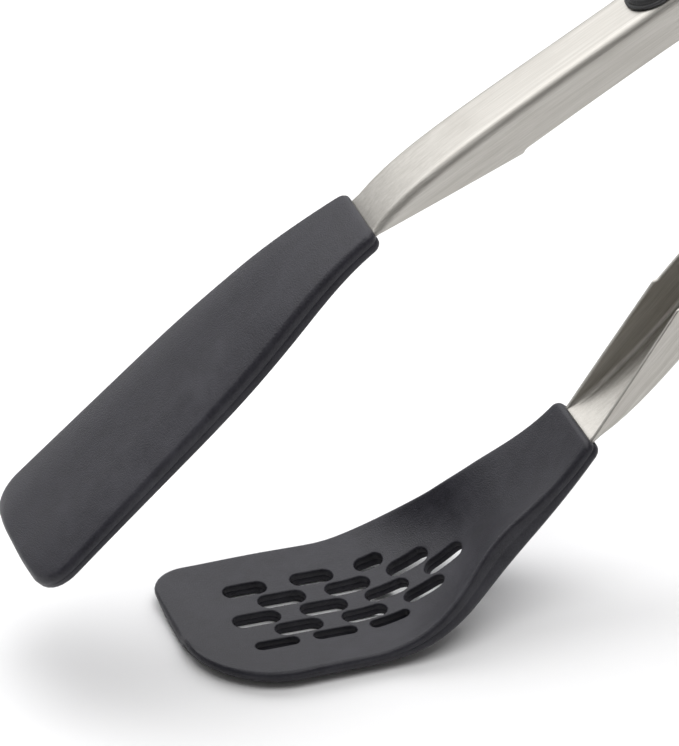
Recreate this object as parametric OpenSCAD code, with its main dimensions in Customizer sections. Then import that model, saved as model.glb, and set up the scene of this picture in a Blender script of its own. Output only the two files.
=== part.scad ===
// Spring loaded kitchen tongs with a slotted turner head and a plain spatula head.
// Millimetres. X runs along the tongs with the heads at -X, Y is the hinge axis, Z is up.
// The tongs stand open with the turner blade lying flat on Z = 0.

/* [Arms] */
// distance from the hinge axis to the neck where the steel enters the head
arm_len = 225; // [200:1:260]
// width of the steel at the neck
neck_w = 17; // [14:0.5:20]
// width of the steel at its narrowest, in front of the grip
waist_w = 14.8; // [13:0.2:17]
// outside width of the upper arm at the grip and hinge
hinge_w = 19; // [17:0.5:22]
// depth of the pressed channel
channel_d = 10.2; // [9:0.2:12]
// thickness of the steel sheet
sheet = 1; // [0.8:0.1:1.2]
// angle between the two arms when open
open_angle = 19; // [17:0.5:22]
// distance from the neck to the step in the flange edge
step_at = 37.5; // [30:0.5:45]

/* [Heads] */
// length of the turner head measured along its curve
turner_len = 116; // [105:0.2:130]
// length of the spatula head measured along its curve
spatula_len = 109.5; // [100:0.5:125]
// width of the turner blade at its tip before the corners are rounded
turner_w = 50.6; // [44:0.5:60]
// width of the spatula blade at its tip before the corners are rounded
spatula_w = 45; // [42:0.5:58]
// width of both heads at the neck
collar_w = 20.6; // [19.4:0.2:24]
// thickness of both heads at the neck
collar_t = 5; // [5:0.1:7]
// radius of the bend between the turner blade and its neck
bend_r = 50; // [40:1:60]
// angle of that bend
bend_angle = 42.5; // [36:0.5:48]
// thickness of the blades at the middle of the tip
blade_t = 3.2; // [2.4:0.1:3.6]
// slant of the blade tips across their width
slant = 4; // [0:0.5:8]
// radius of the spatula's tip corners and of the turner's far one
corner_r = 9; // [4:0.5:10]
// radius of the turner's near tip corner
near_corner_r = 20; // [9:0.5:22]

/* [Slots] */
// length of one slot
slot_len = 11.6; // [9:0.2:12.2]
// width of one slot
slot_w = 5; // [3:0.1:5.2]
// distance between slots along the blade
slot_pitch = 16.8; // [15:0.1:19]
// distance between neighbouring rows of slots
row_pitch = 6.1; // [6:0.1:6.8]
// distance from the tip to the first slot centre
slot_first = 18.7; // [16:0.1:24]
// width of the slots in the row along the near edge
near_slot_w = 3.4; // [2.6:0.1:4]
// distance between the slots of that row
near_pitch = 14.4; // [12:0.1:17]

/* [Grips] */
// length of the soft grips
grip_len = 118; // [90:1:124]
// thickness of the soft grips at their middle
grip_t = 3; // [2.4:0.1:4]

/* [Hinge and lock] */
// radius of the hinge pin
pin_r = 2; // [1.8:0.05:2.2]
// diameter of the spring wire
wire_d = 1.4; // [1.2:0.1:1.6]
// how far the arms swing shut before the tips meet
close_angle = 7.8; // [7:0.1:8]
// how far the lock bar is pulled out
lock_travel = 6.5; // [6:0.1:7]
// radius of the hole in the hanging loop
loop_r = 5; // [4:0.1:6]

/* [Hidden] */
$fn = 48;
fit = 0.05;                              // radial clearance of the running fits
pivot_t = 5.5;                           // the neck lies this far outside the hinge axis
flange_drop = 5.24;                      // the flange edges lie this far inside the neck
web_rise = channel_d - flange_drop;      // the web stands this far outside the neck
web_t = pivot_t + web_rise;              // outer face of the web from the hinge axis
edge_t = pivot_t - flange_drop;          // flange edge from the hinge axis
web_run = 12;                            // how gently the web rises from the neck
waist_s = 75;                            // distance from the neck to the start of the grip
flare_s = 40;                            // length over which an arm widens there
step_len = 2.5;                          // length of the step in the flange edge
step_d = 0.56;                           // depth of that step
wall = (collar_t - sheet) / 2;           // head material outside the steel at the neck
skin = 1;                                // head material over its core
neck_turn = 7;                           // gentle turn of both heads next to the neck
lower_deg = bend_angle + neck_turn;      // slope of the lower arm
upper_deg = lower_deg - open_angle;      // slope of the upper arm
mid_deg = lower_deg - open_angle / 2;    // slope of the plane between them
ear_r = 7;
upper_in = hinge_w / 2 - sheet;          // inside of the upper ears
lower_hw = upper_in - 0.3;               // outside of the lower ears
lower_in = lower_hw - sheet;             // inside of the lower ears
blade_rest = 30;                         // from the turner tip to the middle of its rest face
neck_arc = 23;
bend_len = bend_r * bend_angle * PI / 180;
flat_len = 40;
neck_line = turner_len - neck_arc - bend_len - flat_len;
turner_path = [[neck_arc, neck_turn], [neck_line, 0], [bend_len, bend_angle], [flat_len, 0]];
spatula_path = [[30, 11.7], [spatula_len - 30, 0.4]];
neck_flare = 0.145;                      // widening of a head along its neck
rim_t = 9;                               // height of the turner's rims at their highest
core_l = 26;
core_w = 15.2;
tang_w = 13;
tang_l = 24;
tang_in = 2.5;                           // how far the full width of steel enters a head
rivet_at = [9, 18];
rivet_r = 1.5;
rivet_skin = 1.05;                       // head material over a rivet
coil_r = 4.45;
leg_at = 28;
grip_a = arm_len - waist_s - grip_len / 2;  // grip centre from the hinge axis
plate_len = grip_len - 14;
post_at = [-36, 0, 36];
post_r = 1.6;
post_head_r = 2.6;
post_head_t = 0.8;
plate_t = 1.4;
cross_r = 1.25;
hook_a = 59.5;                           // lock pin from the hinge axis when pulled out
cross_a = hook_a + lock_travel;
shut_half = (open_angle - close_angle) / 2;
hook_t = hook_a * sin(shut_half) + cross_r + 0.35;
hook_floor = 0.85;                       // thickness of the hook under the lock pin
block_l = 8;
block_h = 3;
bar_t = 2;
drum_r = coil_r - wire_d / 2 - 0.3;
eps = 0.02;

// ---- curves shared by the pieces ----
// Walk along a path of [length, turn] arcs: gives [along, outward, angle] at distance l.
function arc_step(l, a, k) = abs(k * l) < 0.001 ? [l * cos(a), -l * sin(a)]
    : [cos(a + k * l / 2), -sin(a + k * l / 2)] * l * sin(k * l / 2) / (k * l / 2 * PI / 180);
function walk(path, l, i = 0, p = [0, 0], a = 0) =
    let (len_i = path[i][0], k = path[i][1] / len_i, d = arc_step(l, a, k), e = arc_step(len_i, a, k))
    (l <= len_i || i == len(path) - 1) ? [p[0] + d[0], p[1] + d[1], a + k * l]
    : walk(path, l - len_i, i + 1, [p[0] + e[0], p[1] + e[1]], a + path[i][1]);
// Point of a head at path distance l and height h above its outer face, in arm coordinates.
function head_pt(path, l, h, shift = 0) = let (w = walk(path, l))
    [arm_len + w[0] - h * sin(w[2]) + shift * cos(w[2]),
     pivot_t + wall + w[1] - h * cos(w[2]) - shift * sin(w[2])];
function smooth(x) = let (c = max(0, min(1, x))) c * c * (3 - 2 * c);
function mix(a, b, x) = a + (b - a) * smooth(x);
// Web and flange edge of the pressed channel at distance s behind the neck.
function web_at(s) = pivot_t + web_rise * (1 - exp(-s / web_run));
function edge_at(s) = s < step_at ? pivot_t - sheet - (flange_drop + step_d - sheet) * s / step_at : edge_t;
function half_w(s, back) = s < waist_s ? mix(neck_w, waist_w, s / (waist_s - 5)) / 2
    : mix(waist_w / 2, back, (s - waist_s) / flare_s);

// Hinge position that lays the turner blade flat on Z = 0.
tip = head_pt(turner_path, turner_len, 0);
hinge_x = -blade_rest + tip[0] * cos(lower_deg) - tip[1] * sin(lower_deg);
hinge_z = tip[0] * sin(lower_deg) + tip[1] * cos(lower_deg);

// Arm coordinates: local x = -distance from the hinge, local z = side * distance outward.
module on_arm(side) {
    translate([hinge_x, 0, hinge_z])
    rotate([0, side < 0 ? -lower_deg : -upper_deg, 0])
    children();
}

module on_mid() {
    translate([hinge_x, 0, hinge_z])
    rotate([0, -mid_deg, 0])
    children();
}

// Extrude a side view (x, z) across the width.
module across(half) {
    rotate([90, 0, 0])
    translate([0, 0, -half])
    linear_extrude(2 * half)
    children();
}

module rod(r, y0, y1) {
    translate([0, y0, 0])
    rotate([-90, 0, 0])
    cylinder(r = r, h = y1 - y0);
}

// ---- arms ----
web_s = [0, 2, 4, 6, 8.5, 11, 14, 17, 21, 26, 33, 42, 55, 75];
plan_s = [0, 12, 24, 36, 48, 60, 75, 82, 88, 95, 102, 108, 115, arm_len + 12];

module arm_side(side) {
    polygon(concat(
        [for (s = web_s) [-(arm_len - s), side * web_at(s)]],
        [[-1, side * web_t], [5, side * (web_t - 3)], [5, side * edge_t]],
        [[-(arm_len - step_at - step_len), side * edge_t]],
        [for (s = [step_at, step_at * 0.6, step_at * 0.3, 0]) [-(arm_len - s), side * edge_at(s - 0.001)]]));
}

module channel_side(side) {
    polygon(concat(
        [for (s = web_s) [-(arm_len - s), side * (web_at(s) - sheet * (1 + 0.06 * exp(-s / web_run)))]],
        [[20, side * (web_t - sheet)], [20, -side * 20], [-arm_len, -side * 20]]));
}

module arm_plan(back, inset) {
    polygon(concat(
        [for (s = plan_s) [-(arm_len - s), half_w(s, back) - inset]],
        [for (i = [len(plan_s) - 1 : -1 : 0]) [-(arm_len - plan_s[i]), inset - half_w(plan_s[i], back)]]));
}

module band(path, l0, l1, h0, h1, side) {
    n = 8;
    step = (l1 - l0) / n;
    polygon(concat(
        [for (i = [0 : n]) let (p = head_pt(path, l0 + i * step, h0)) [-p[0], side * p[1]]],
        [for (i = [n : -1 : 0]) let (p = head_pt(path, l0 + i * step, h1)) [-p[0], side * p[1]]]));
}

// Profile of the hook that the lock pin slides under.
module hook_side(side) {
    polygon([for (p = [[hook_a - 4.6, edge_t + 2], [hook_a - 4.6, -hook_t - hook_floor],
        [hook_a + 2.4, -hook_t - hook_floor], [hook_a + 2.4, -hook_t],
        [hook_a - 2.4, -hook_t], [hook_a - 2.4, edge_t + 2]]) [-p[0], side * p[1]]]);
}

module tang(path, side) {
    intersection() {
        across(tang_w / 2) band(path, 0, tang_l, wall, wall + sheet, side);
        translate([-arm_len - 40, -20, -40]) cube([40, 40, 80]);
    }
    across(neck_w / 2) band(path, 0, tang_in, wall, wall + sheet, side);
}

module arm(path, side, back) {
    hook_y = side * (back - sheet / 2);
    difference() {
        union() {
            difference() {
                intersection() {
                    union() {
                        across(30) arm_side(side);
                        rod(ear_r, -30, 30);
                    }
                    translate([0, 0, -40]) linear_extrude(80) arm_plan(back, 0);
                }
                intersection() {
                    across(30) channel_side(side);
                    translate([0, 0, -40]) linear_extrude(80) arm_plan(back, sheet);
                }
            }
            tang(path, side);
            translate([0, hook_y, 0]) across(sheet / 2) hook_side(side);
        }
        rod(pin_r + fit, -30, 30);
        for (x = post_at) translate([-grip_a - x, 0, -20]) cylinder(r = post_r + eps, h = 40);
        for (l = rivet_at) head_bore(path, l, side, rivet_r + eps);
    }
}

module head_bore(path, l, side, r) {
    w = walk(path, l);
    p = head_pt(path, l, 0);
    translate([-p[0], 0, side * p[1]])
    rotate([0, -side * w[2], 0])
    translate([0, 0, -8])
    cylinder(r = r, h = 16);
}

module lower_arm() {
    color([0.78, 0.77, 0.75]) on_arm(-1) arm(turner_path, -1, lower_hw);
}

module upper_arm() {
    color([0.78, 0.77, 0.75]) on_arm(1) arm(spatula_path, 1, hinge_w / 2);
}

// ---- heads ----
// Half width at path distance l for a blade of half width b that flares between f0 and f1.
function plan_hw(l, total, b, taper, f0, f1, r) =
    let (q = total - l, neck = collar_w / 2 + neck_flare * l, blade = b - taper * q,
         w = neck + (blade - neck) * smooth((l - f0) / (f1 - f0)))
    q < r ? w - r + sqrt(max(0, r * r - (r - q) * (r - q))) : w;
// Raised edge, rim height and middle height of the turner and of the spatula.
function turner_e(l) = mix(0.5, 1.9, (l - 28) / 18);
function turner_rim(l) = mix(collar_t, rim_t, (l - 4) / 32) - mix(0, rim_t - blade_t - 1.9, (l - 37) / 42)
    - mix(0, 0.8, (l - 85) / 30);
function turner_mid(l) = mix(collar_t - 0.1, blade_t + 0.1, (l - core_l) / 16);
// The outer face is flat in the middle and curls up towards both edges.
function belly(u) = pow(max(0, abs(u) - 0.3) / 0.7, 2);
function spatula_e(l) = mix(0.5, 1.2, l / 40);
function spatula_rim(l) = mix(collar_t, 6.2, l / 30) - 1.2 * smooth((l - 40) / 70);
function spatula_mid(l) = mix(collar_t, blade_t, (l - core_l) / 30);

ring = [-1, -0.86, -0.68, -0.48, -0.25, 0, 0.25, 0.48, 0.68, 0.86, 1];
function head_ls(total, r) = concat([for (i = [0 : 19]) i * (total - r) / 19],
    [for (a = [15, 30, 42, 54, 66, 78, 90]) total - r * (1 - sin(a))]);

module head(path, total, b, taper, f0, f1, near_r, turner, side) {
    ls = head_ls(total, near_r);
    m = len(ring);
    n = len(ls);
    pts = [for (l = ls) let (hw = [for (u = ring) plan_hw(l, total, b, taper, f0, f1, u < 0 ? near_r : corner_r)],
            e = turner ? turner_e(l) : spatula_e(l),
            rim = turner ? turner_rim(l) : spatula_rim(l),
            mid = turner ? turner_mid(l) : spatula_mid(l))
        each concat(
            [for (i = [0 : m - 1]) let (u = ring[i], y = u * hw[i],
                p = head_pt(path, l, e * belly(u), y * tan(slant) * smooth(l / total))) [-p[0], y, side * p[1]]],
            [for (i = [m - 1 : -1 : 0]) let (u = ring[i], y = u * hw[i],
                p = head_pt(path, l, mid + (rim - mid) * u * u, y * tan(slant) * smooth(l / total)))
                [-p[0], y, side * p[1]]])];
    k = 2 * m;
    walls = [for (i = [0 : n - 2]) for (j = [0 : k - 1]) let (j2 = (j + 1) % k)
        each [[i * k + j, (i + 1) * k + j, i * k + j2], [i * k + j2, (i + 1) * k + j, (i + 1) * k + j2]]];
    caps = [for (c = [0, n - 1]) for (j = [0 : m - 2]) let (o = c * k, a = o + j, b1 = o + j + 1,
            t = o + k - 1 - j, t1 = o + k - 2 - j)
        each c == 0 ? [[a, b1, t], [b1, t1, t]] : [[b1, a, t], [t1, b1, t]]];
    faces = concat(walls, caps);
    polyhedron(points = pts, faces = side < 0 ? faces : [for (f = faces) [f[0], f[2], f[1]]], convexity = 8);
}

// Room inside a head for its core and for the steel that enters at the neck.
module head_room(path, side) {
    across(core_w / 2 + eps) band(path, tang_in, core_l + eps, skin - eps, collar_t - skin + eps, side);
    across(neck_w / 2 + fit) band(path, -2, tang_in + 0.1, wall - fit, wall + sheet + fit, side);
}

// Each slot as its row from the middle one and its place along the row. The last slot of the far row is short.
slot_rows = [[2, 0], [2, 1], [2, 2], [1, 0.5], [1, 1.5], [1, 2.5], [0, 0], [0, 1], [0, 2], [0, 3],
    [-1, 0.5], [-1, 1.5], [-1, 2.5], [-2, 0], [-2, 1], [-2, 2]];
slot_gap = row_pitch - slot_w;
short_by = 3;
function slot_d(row) = row == -2 ? near_slot_w : row == 2 ? slot_w - 0.4 : slot_w;
function slot_size(row, col) = slot_len - (abs(row) == 2 ? 1 : 0) - (row == 2 && col == 2 ? short_by : 0);
function slot_y(row) = row == -2 ? -row_pitch - slot_w / 2 - slot_gap - near_slot_w / 2 : row * row_pitch;

module slot(row, col) {
    y = slot_y(row);
    inset = slot_first + (abs(row) == 2 ? 1.2 : 0) - (row == 2 && col == 2 ? short_by / 2 : 0);
    l = turner_len - inset - col * (row == -2 ? near_pitch : slot_pitch) + y * tan(slant);
    w = walk(turner_path, l);
    p = head_pt(turner_path, l, 0);
    d = slot_d(row);
    half = (slot_size(row, col) - d) / 2;
    translate([-p[0], y, -p[1]])
    rotate([0, w[2], 0])
    union() {
        translate([-half, 0, -5]) cylinder(d = d, h = 16);
        translate([half, 0, -5]) cylinder(d = d, h = 16);
        translate([-half, -d / 2, -5]) cube([2 * half, d, 16]);
    }
}

module lower_head() {
    color([0.17, 0.17, 0.18]) on_arm(-1) difference() {
        head(turner_path, turner_len, turner_w / 2, 0.015, 28, 68, near_corner_r, true, -1);
        head_room(turner_path, -1);
        for (s = slot_rows) slot(s[0], s[1]);
    }
}

module upper_head() {
    color([0.17, 0.17, 0.18]) on_arm(1) difference() {
        head(spatula_path, spatula_len, spatula_w / 2, 0.055, 6, 62, corner_r, false, 1);
        head_room(spatula_path, 1);
    }
}

module core(path, side) {
    difference() {
        across(core_w / 2) band(path, tang_in + 0.1, core_l, skin, collar_t - skin, side);
        across(tang_w / 2 + eps) band(path, 0, tang_l + 0.1, wall - eps, wall + sheet + eps, side);
        for (l = rivet_at) head_bore(path, l, side, rivet_r + eps);
    }
}

module tang_rivets(path, side) {
    for (l = rivet_at) {
        w = walk(path, l);
        p = head_pt(path, l, collar_t / 2);
        translate([-p[0], 0, side * p[1]])
        rotate([0, -side * w[2], 0])
        translate([0, 0, rivet_skin - collar_t / 2])
        cylinder(r = rivet_r, h = collar_t - 2 * rivet_skin);
    }
}

module lower_head_core() {
    color([0.1, 0.1, 0.1]) on_arm(-1) core(turner_path, -1);
}

module upper_head_core() {
    color([0.1, 0.1, 0.1]) on_arm(1) core(spatula_path, 1);
}

module lower_tang_rivets() {
    color([0.7, 0.7, 0.7]) on_arm(-1) tang_rivets(turner_path, -1);
}

module upper_tang_rivets() {
    color([0.7, 0.7, 0.7]) on_arm(1) tang_rivets(spatula_path, 1);
}

// ---- grips ----
grip_hw = waist_w / 2 - 0.4;

module grip_plan(hw, length) {
    run = length / 2 - hw;
    translate([-run, -hw]) square([2 * run, 2 * hw]);
    translate([-run, 0]) circle(r = hw);
    translate([run, 0]) circle(r = hw);
}

module grip_pad(side) {
    crown = grip_hw * grip_hw / 2.4;
    difference() {
        intersection() {
            translate([-grip_a, 0, side > 0 ? web_t + eps : -web_t - eps - grip_t])
            linear_extrude(grip_t) grip_plan(grip_hw, grip_len);
            translate([-grip_a - grip_len, 0, side * (web_t + grip_t - crown)])
            rotate([0, 90, 0])
            cylinder(r = crown, h = 2 * grip_len, $fn = 96);
        }
        grip_posts(side, post_r + eps);
    }
}

module grip_plate(side) {
    top = web_t - sheet - eps;
    difference() {
        translate([-grip_a, 0, side > 0 ? top - plate_t : -top])
        linear_extrude(plate_t) grip_plan(grip_hw - 1.2, plate_len);
        grip_posts(side, post_r + eps);
    }
}

module grip_posts(side, r) {
    low = web_t - sheet - plate_t - eps - (r > post_r ? 2 : 0);
    high = web_t + 1.6 + (r - post_r);
    for (x = post_at) {
        translate([-grip_a - x, 0, side > 0 ? low : -high]) cylinder(r = r, h = high - low);
        if (r == post_r) {
            translate([-grip_a - x, 0, side > 0 ? low - post_head_t : -low]) cylinder(r = post_head_r, h = post_head_t);
        }
    }
}

module lower_grip_pad() {
    color([0.07, 0.07, 0.08]) on_arm(-1) grip_pad(-1);
}

module upper_grip_pad() {
    color([0.07, 0.07, 0.08]) on_arm(1) grip_pad(1);
}

module lower_grip_plate() {
    color([0.12, 0.12, 0.12]) on_arm(-1) grip_plate(-1);
}

module upper_grip_plate() {
    color([0.12, 0.12, 0.12]) on_arm(1) grip_plate(1);
}

module lower_grip_posts() {
    color([0.12, 0.12, 0.12]) on_arm(-1) grip_posts(-1, post_r);
}

module upper_grip_posts() {
    color([0.12, 0.12, 0.12]) on_arm(1) grip_posts(1, post_r);
}

// ---- hinge ----
washer_y = hinge_w / 2 + 0.3;
washer_r = 4.4;
washer_t = 0.6;
pin_head_r = 3.6;
pin_head_t = 1.18;
clip_r = 3.4;
clip_t = 0.98;

module hinge_pin() {
    color([0.75, 0.75, 0.75]) translate([hinge_x, 0, hinge_z]) {
        rod(pin_r, -washer_y - 1.2, washer_y + 2.2);
        rod(pin_head_r, -washer_y - washer_t - eps - pin_head_t, -washer_y - washer_t - eps);
    }
}

module hinge_washers() {
    color([0.7, 0.7, 0.7]) translate([hinge_x, 0, hinge_z])
    for (y = [-washer_y - washer_t, washer_y]) difference() {
        rod(washer_r, y, y + washer_t);
        rod(pin_r + eps, y - 1, y + 2);
    }
}

module pin_retainer() {
    color([0.6, 0.6, 0.6]) translate([hinge_x, 0, hinge_z]) difference() {
        rod(clip_r, washer_y + washer_t + eps, washer_y + washer_t + eps + clip_t);
        rod(pin_r + eps, washer_y, washer_y + 3);
    }
}

// ---- spring ----
// Centre line of the wire: a leg on the lower arm, a coil, across on the upper arm and back.
turn_a = 180 - open_angle;
leg_t = web_t - sheet - wire_d / 2 - 0.1;
coil_in = bar_t / 2 + 0.7 + wire_d / 2;
coil_pitch = wire_d + 0.15;
coil_room = lower_in - 0.3 - wire_d / 2 - coil_in;
turns = floor(coil_room / coil_pitch - turn_a / 360);   // as many whole turns as the ears leave room for
coil_out = coil_in + coil_pitch * (turns + turn_a / 360);
coil_n = 52;

function polar(r, a) = [r * cos(a), r * sin(a)];
function arm_xz(a, t, side) = side < 0
    ? [-a * cos(lower_deg) + t * sin(lower_deg), -a * sin(lower_deg) - t * cos(lower_deg)]
    : [-a * cos(upper_deg) - t * sin(upper_deg), -a * sin(upper_deg) + t * cos(upper_deg)];
function half_wire(sy) = concat(
    [for (a = [leg_at, 18, 9]) let (f = a / leg_at, p = arm_xz(a, coil_r + (leg_t - coil_r) * f, -1))
        [p[0], sy * coil_out, p[1]]],
    [for (i = [0 : coil_n]) let (f = i / coil_n, p = polar(coil_r, lower_deg - 90 + f * (turn_a + 360 * turns)))
        [p[0], sy * (coil_out + (coil_in - coil_out) * f), p[1]]],
    [for (a = [9, 18, leg_at]) let (f = a / leg_at, p = arm_xz(a, coil_r + (leg_t - coil_r) * f, 1))
        [p[0], sy * coil_in, p[1]]]);
near_wire = half_wire(-1);
far_wire = half_wire(1);
bridge = let (p = arm_xz(leg_at + 2, leg_t, 1)) [[p[0], -coil_in + 1.4, p[1]], [p[0], coil_in - 1.4, p[1]]];
wire = concat(near_wire, bridge, [for (i = [len(far_wire) - 1 : -1 : 0]) far_wire[i]]);

function unit(v) = v / norm(v);
function tangent(i) = unit(wire[min(i + 1, len(wire) - 1)] - wire[max(i - 1, 0)]);
// The wire bends about the hinge axis, except along the bridge where it runs parallel to it.
function side_of(i) = let (t = tangent(i), ref = abs(t[1]) > 0.6 ? [wire[i][2], 0, -wire[i][0]] : [0, 1, 0])
    unit(cross(ref, t));

module torsion_spring() {
    k = 8;
    n = len(wire);
    pts = [for (i = [0 : n - 1]) let (t = tangent(i), u = side_of(i), v = cross(t, u))
        for (j = [0 : k - 1]) wire[i] + wire_d / 2 * (u * cos(j * 360 / k) + v * sin(j * 360 / k))];
    walls = [for (i = [0 : n - 2]) for (j = [0 : k - 1]) let (j2 = (j + 1) % k)
        each [[i * k + j, i * k + j2, (i + 1) * k + j], [i * k + j2, (i + 1) * k + j2, (i + 1) * k + j]]];
    ends = [[for (j = [k - 1 : -1 : 0]) j], [for (j = [0 : k - 1]) (n - 1) * k + j]];
    color([0.72, 0.72, 0.72]) translate([hinge_x, 0, hinge_z])
    polyhedron(points = pts, faces = [for (f = concat(walls, ends)) [for (i = [len(f) - 1 : -1 : 0]) f[i]]],
        convexity = 10);
}

// ---- lock ----
guide_y = lower_in - 0.4;

module lock_guide(sy) {
    difference() {
        union() {
            rod(drum_r, sy > 0 ? bar_t / 2 + 0.3 : -guide_y, sy > 0 ? guide_y : -bar_t / 2 - 0.3);
            translate([-block_l / 2, sy > 0 ? eps : -bar_t / 2 - 0.31, -block_h])
            cube([block_l, bar_t / 2 + 0.31 - eps, 2 * block_h]);
        }
        rod(pin_r + fit, -30, 30);
    }
}

module lock_guide_near() {
    color([0.15, 0.15, 0.16]) on_mid() lock_guide(-1);
}

module lock_guide_far() {
    color([0.15, 0.15, 0.16]) on_mid() lock_guide(1);
}

module lock_bar() {
    slot_h = block_h + fit;
    color([0.74, 0.74, 0.73]) on_mid() difference() {
        across(bar_t / 2) difference() {
            polygon([[-cross_a - 4, -2.6], [-cross_a - 4, 2.6], [-24, 2.6], [-17, 5.6], [8, 5.6], [13, 3.4], [26, 3.4],
                [26, -3.4], [13, -3.4], [8, -5.6], [-17, -5.6], [-24, -2.6]]);
            translate([-block_l / 2 - fit - lock_travel, -slot_h])
            square([block_l + 2 * fit + lock_travel, 2 * slot_h]);
        }
        translate([-cross_a, 0, 0]) rod(cross_r + eps, -5, 5);
    }
}

module lock_cross_pin() {
    color([0.7, 0.7, 0.7]) on_mid() translate([-cross_a, 0, 0]) rod(cross_r, -hinge_w / 2 + 0.1, hinge_w / 2 - 0.1);
}

module pull_tab() {
    color([0.07, 0.07, 0.08]) on_mid() difference() {
        union() {
            translate([34, 0, 0]) rod(loop_r + 5, -4, 4);
            translate([14, -4, -6]) cube([18, 8, 12]);
        }
        translate([34, 0, 0]) rod(loop_r, -10, 10);
        translate([13, -bar_t / 2 - eps, -3.4 - eps]) cube([13.02, bar_t + 2 * eps, 6.8 + 2 * eps]);
    }
}

lower_arm();
upper_arm();
lower_head();
upper_head();
lower_head_core();
upper_head_core();
lower_tang_rivets();
upper_tang_rivets();
lower_grip_pad();
upper_grip_pad();
lower_grip_plate();
upper_grip_plate();
lower_grip_posts();
upper_grip_posts();
hinge_pin();
hinge_washers();
pin_retainer();
torsion_spring();
lock_guide_near();
lock_guide_far();
lock_bar();
lock_cross_pin();
pull_tab();
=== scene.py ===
"""Spring loaded kitchen tongs: the finished look of every piece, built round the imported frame.

Lengths are metres and angles are degrees, unless a docstring says otherwise. An arm's own coordinates are
along (from the hinge towards the head), across (the hinge axis, +Y) and outward (away from the other arm).
"""

import logging
import math
from collections.abc import Callable, Sequence
from dataclasses import dataclass, field
from enum import Enum

import bmesh
import bpy
import numpy as np
from mathutils import Matrix, Vector
from mathutils.geometry import delaunay_2d_cdt


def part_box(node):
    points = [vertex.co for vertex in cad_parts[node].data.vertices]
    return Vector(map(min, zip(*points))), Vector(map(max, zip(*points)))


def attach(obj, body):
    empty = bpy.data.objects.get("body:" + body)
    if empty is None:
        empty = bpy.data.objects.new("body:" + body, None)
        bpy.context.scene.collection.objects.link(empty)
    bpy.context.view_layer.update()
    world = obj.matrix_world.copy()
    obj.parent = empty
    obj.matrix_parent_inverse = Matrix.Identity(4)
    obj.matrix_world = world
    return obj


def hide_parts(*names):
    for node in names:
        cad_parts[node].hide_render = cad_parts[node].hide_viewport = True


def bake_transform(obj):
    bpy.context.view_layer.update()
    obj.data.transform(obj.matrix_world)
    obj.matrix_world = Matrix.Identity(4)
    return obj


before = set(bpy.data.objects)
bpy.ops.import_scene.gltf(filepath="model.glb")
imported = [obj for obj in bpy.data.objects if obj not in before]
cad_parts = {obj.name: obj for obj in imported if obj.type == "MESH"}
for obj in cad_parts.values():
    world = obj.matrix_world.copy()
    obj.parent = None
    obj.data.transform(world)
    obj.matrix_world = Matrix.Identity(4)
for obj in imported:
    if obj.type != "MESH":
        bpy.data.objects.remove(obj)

log = logging.getLogger("tongs")

Point = tuple[float, float]
Colour = tuple[float, float, float]
Place = Callable[[float, float, float], Vector]
Mesh = tuple[list[Vector], list[tuple[int, ...]]]
Node = bpy.types.Node
Socket = bpy.types.NodeSocket
Sockets = bpy.types.bpy_prop_collection


class Side(Enum):
    """The two arms, each named as the body it rides on."""

    LOWER = "lower"
    UPPER = "upper"


class Slot(Enum):
    """The record's material slots."""

    STEEL = "arm_steel"
    SILICONE = "silicone"
    GRIP = "grip"
    NYLON = "nylon"
    PIN = "pin_steel"
    SPRING = "spring_steel"
    BAR = "bar_steel"


# ---- curves ----


def smooth(x: float) -> float:
    """Ease from 0 to 1 as x goes from 0 to 1."""
    c = max(0.0, min(1.0, x))
    return c * c * (3 - 2 * c)


def mix(a: float, b: float, x: float) -> float:
    """Ease from a to b as x goes from 0 to 1."""
    return a + (b - a) * smooth(x)


def spread(start: float, end: float, step: float) -> list[float]:
    """Even values from start to end, no further than step apart.

    Args:
        start: The first value.
        end: The last value.
        step: The widest gap wanted.

    Returns:
        The values, both ends included.
    """
    count = max(1, math.ceil(abs(end - start) / step - 1e-9))
    return [start + (end - start) * i / count for i in range(count + 1)]


def soften(corners: Sequence[Point], radius: float, steps: int = 4) -> list[Point]:
    """Round every corner of a closed outline.

    Args:
        corners: The outline's corners in order.
        radius: How far from a corner its rounding starts.
        steps: The number of short edges in each rounding.

    Returns:
        The rounded outline.
    """
    made = []
    for i, corner in enumerate(corners):
        here = Vector(corner)
        before = Vector(corners[i - 1]) - here
        after = Vector(corners[(i + 1) % len(corners)]) - here
        start = here + before.normalized() * min(radius, before.length * 0.48)
        end = here + after.normalized() * min(radius, after.length * 0.48)
        for k in range(steps + 1):
            f = k / steps
            p = start * (1 - f) ** 2 + here * (2 * f * (1 - f)) + end * f * f
            made.append((p.x, p.y))
    return made


def circle(centre: Point, radius: float, count: int, clockwise: bool = True) -> list[Point]:
    """A round outline, clockwise for a hole and anticlockwise for a rim.

    Args:
        centre: The circle's centre.
        radius: Its radius.
        count: Its number of points.
        clockwise: The direction of the points.

    Returns:
        The points.
    """
    turn = -1 if clockwise else 1
    angles = [turn * 2 * math.pi * i / count for i in range(count)]
    return [(centre[0] + radius * math.cos(a), centre[1] + radius * math.sin(a)) for a in angles]


def stadium(
    centre: Point, run: float, radius: float, arc: int, line: int, clockwise: bool = True
) -> list[Point]:
    """A straight-sided outline with round ends.

    Args:
        centre: The outline's centre.
        run: Half the straight part, along the first axis.
        radius: The radius of the ends.
        arc: Edges round each end.
        line: Edges along each straight side.
        clockwise: The direction of the points.

    Returns:
        The points.
    """
    points = []
    for end in (1, -1):
        for k in range(arc + 1):
            a = math.radians(-90 + 180 * k / arc) + (0 if end > 0 else math.pi)
            points.append((end * run + radius * math.cos(a), radius * math.sin(a)))
        for k in range(1, line):
            points.append((end * (run - 2 * run * k / line), end * radius))
    if clockwise:
        points.reverse()
    return [(centre[0] + x, centre[1] + y) for x, y in points]


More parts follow.
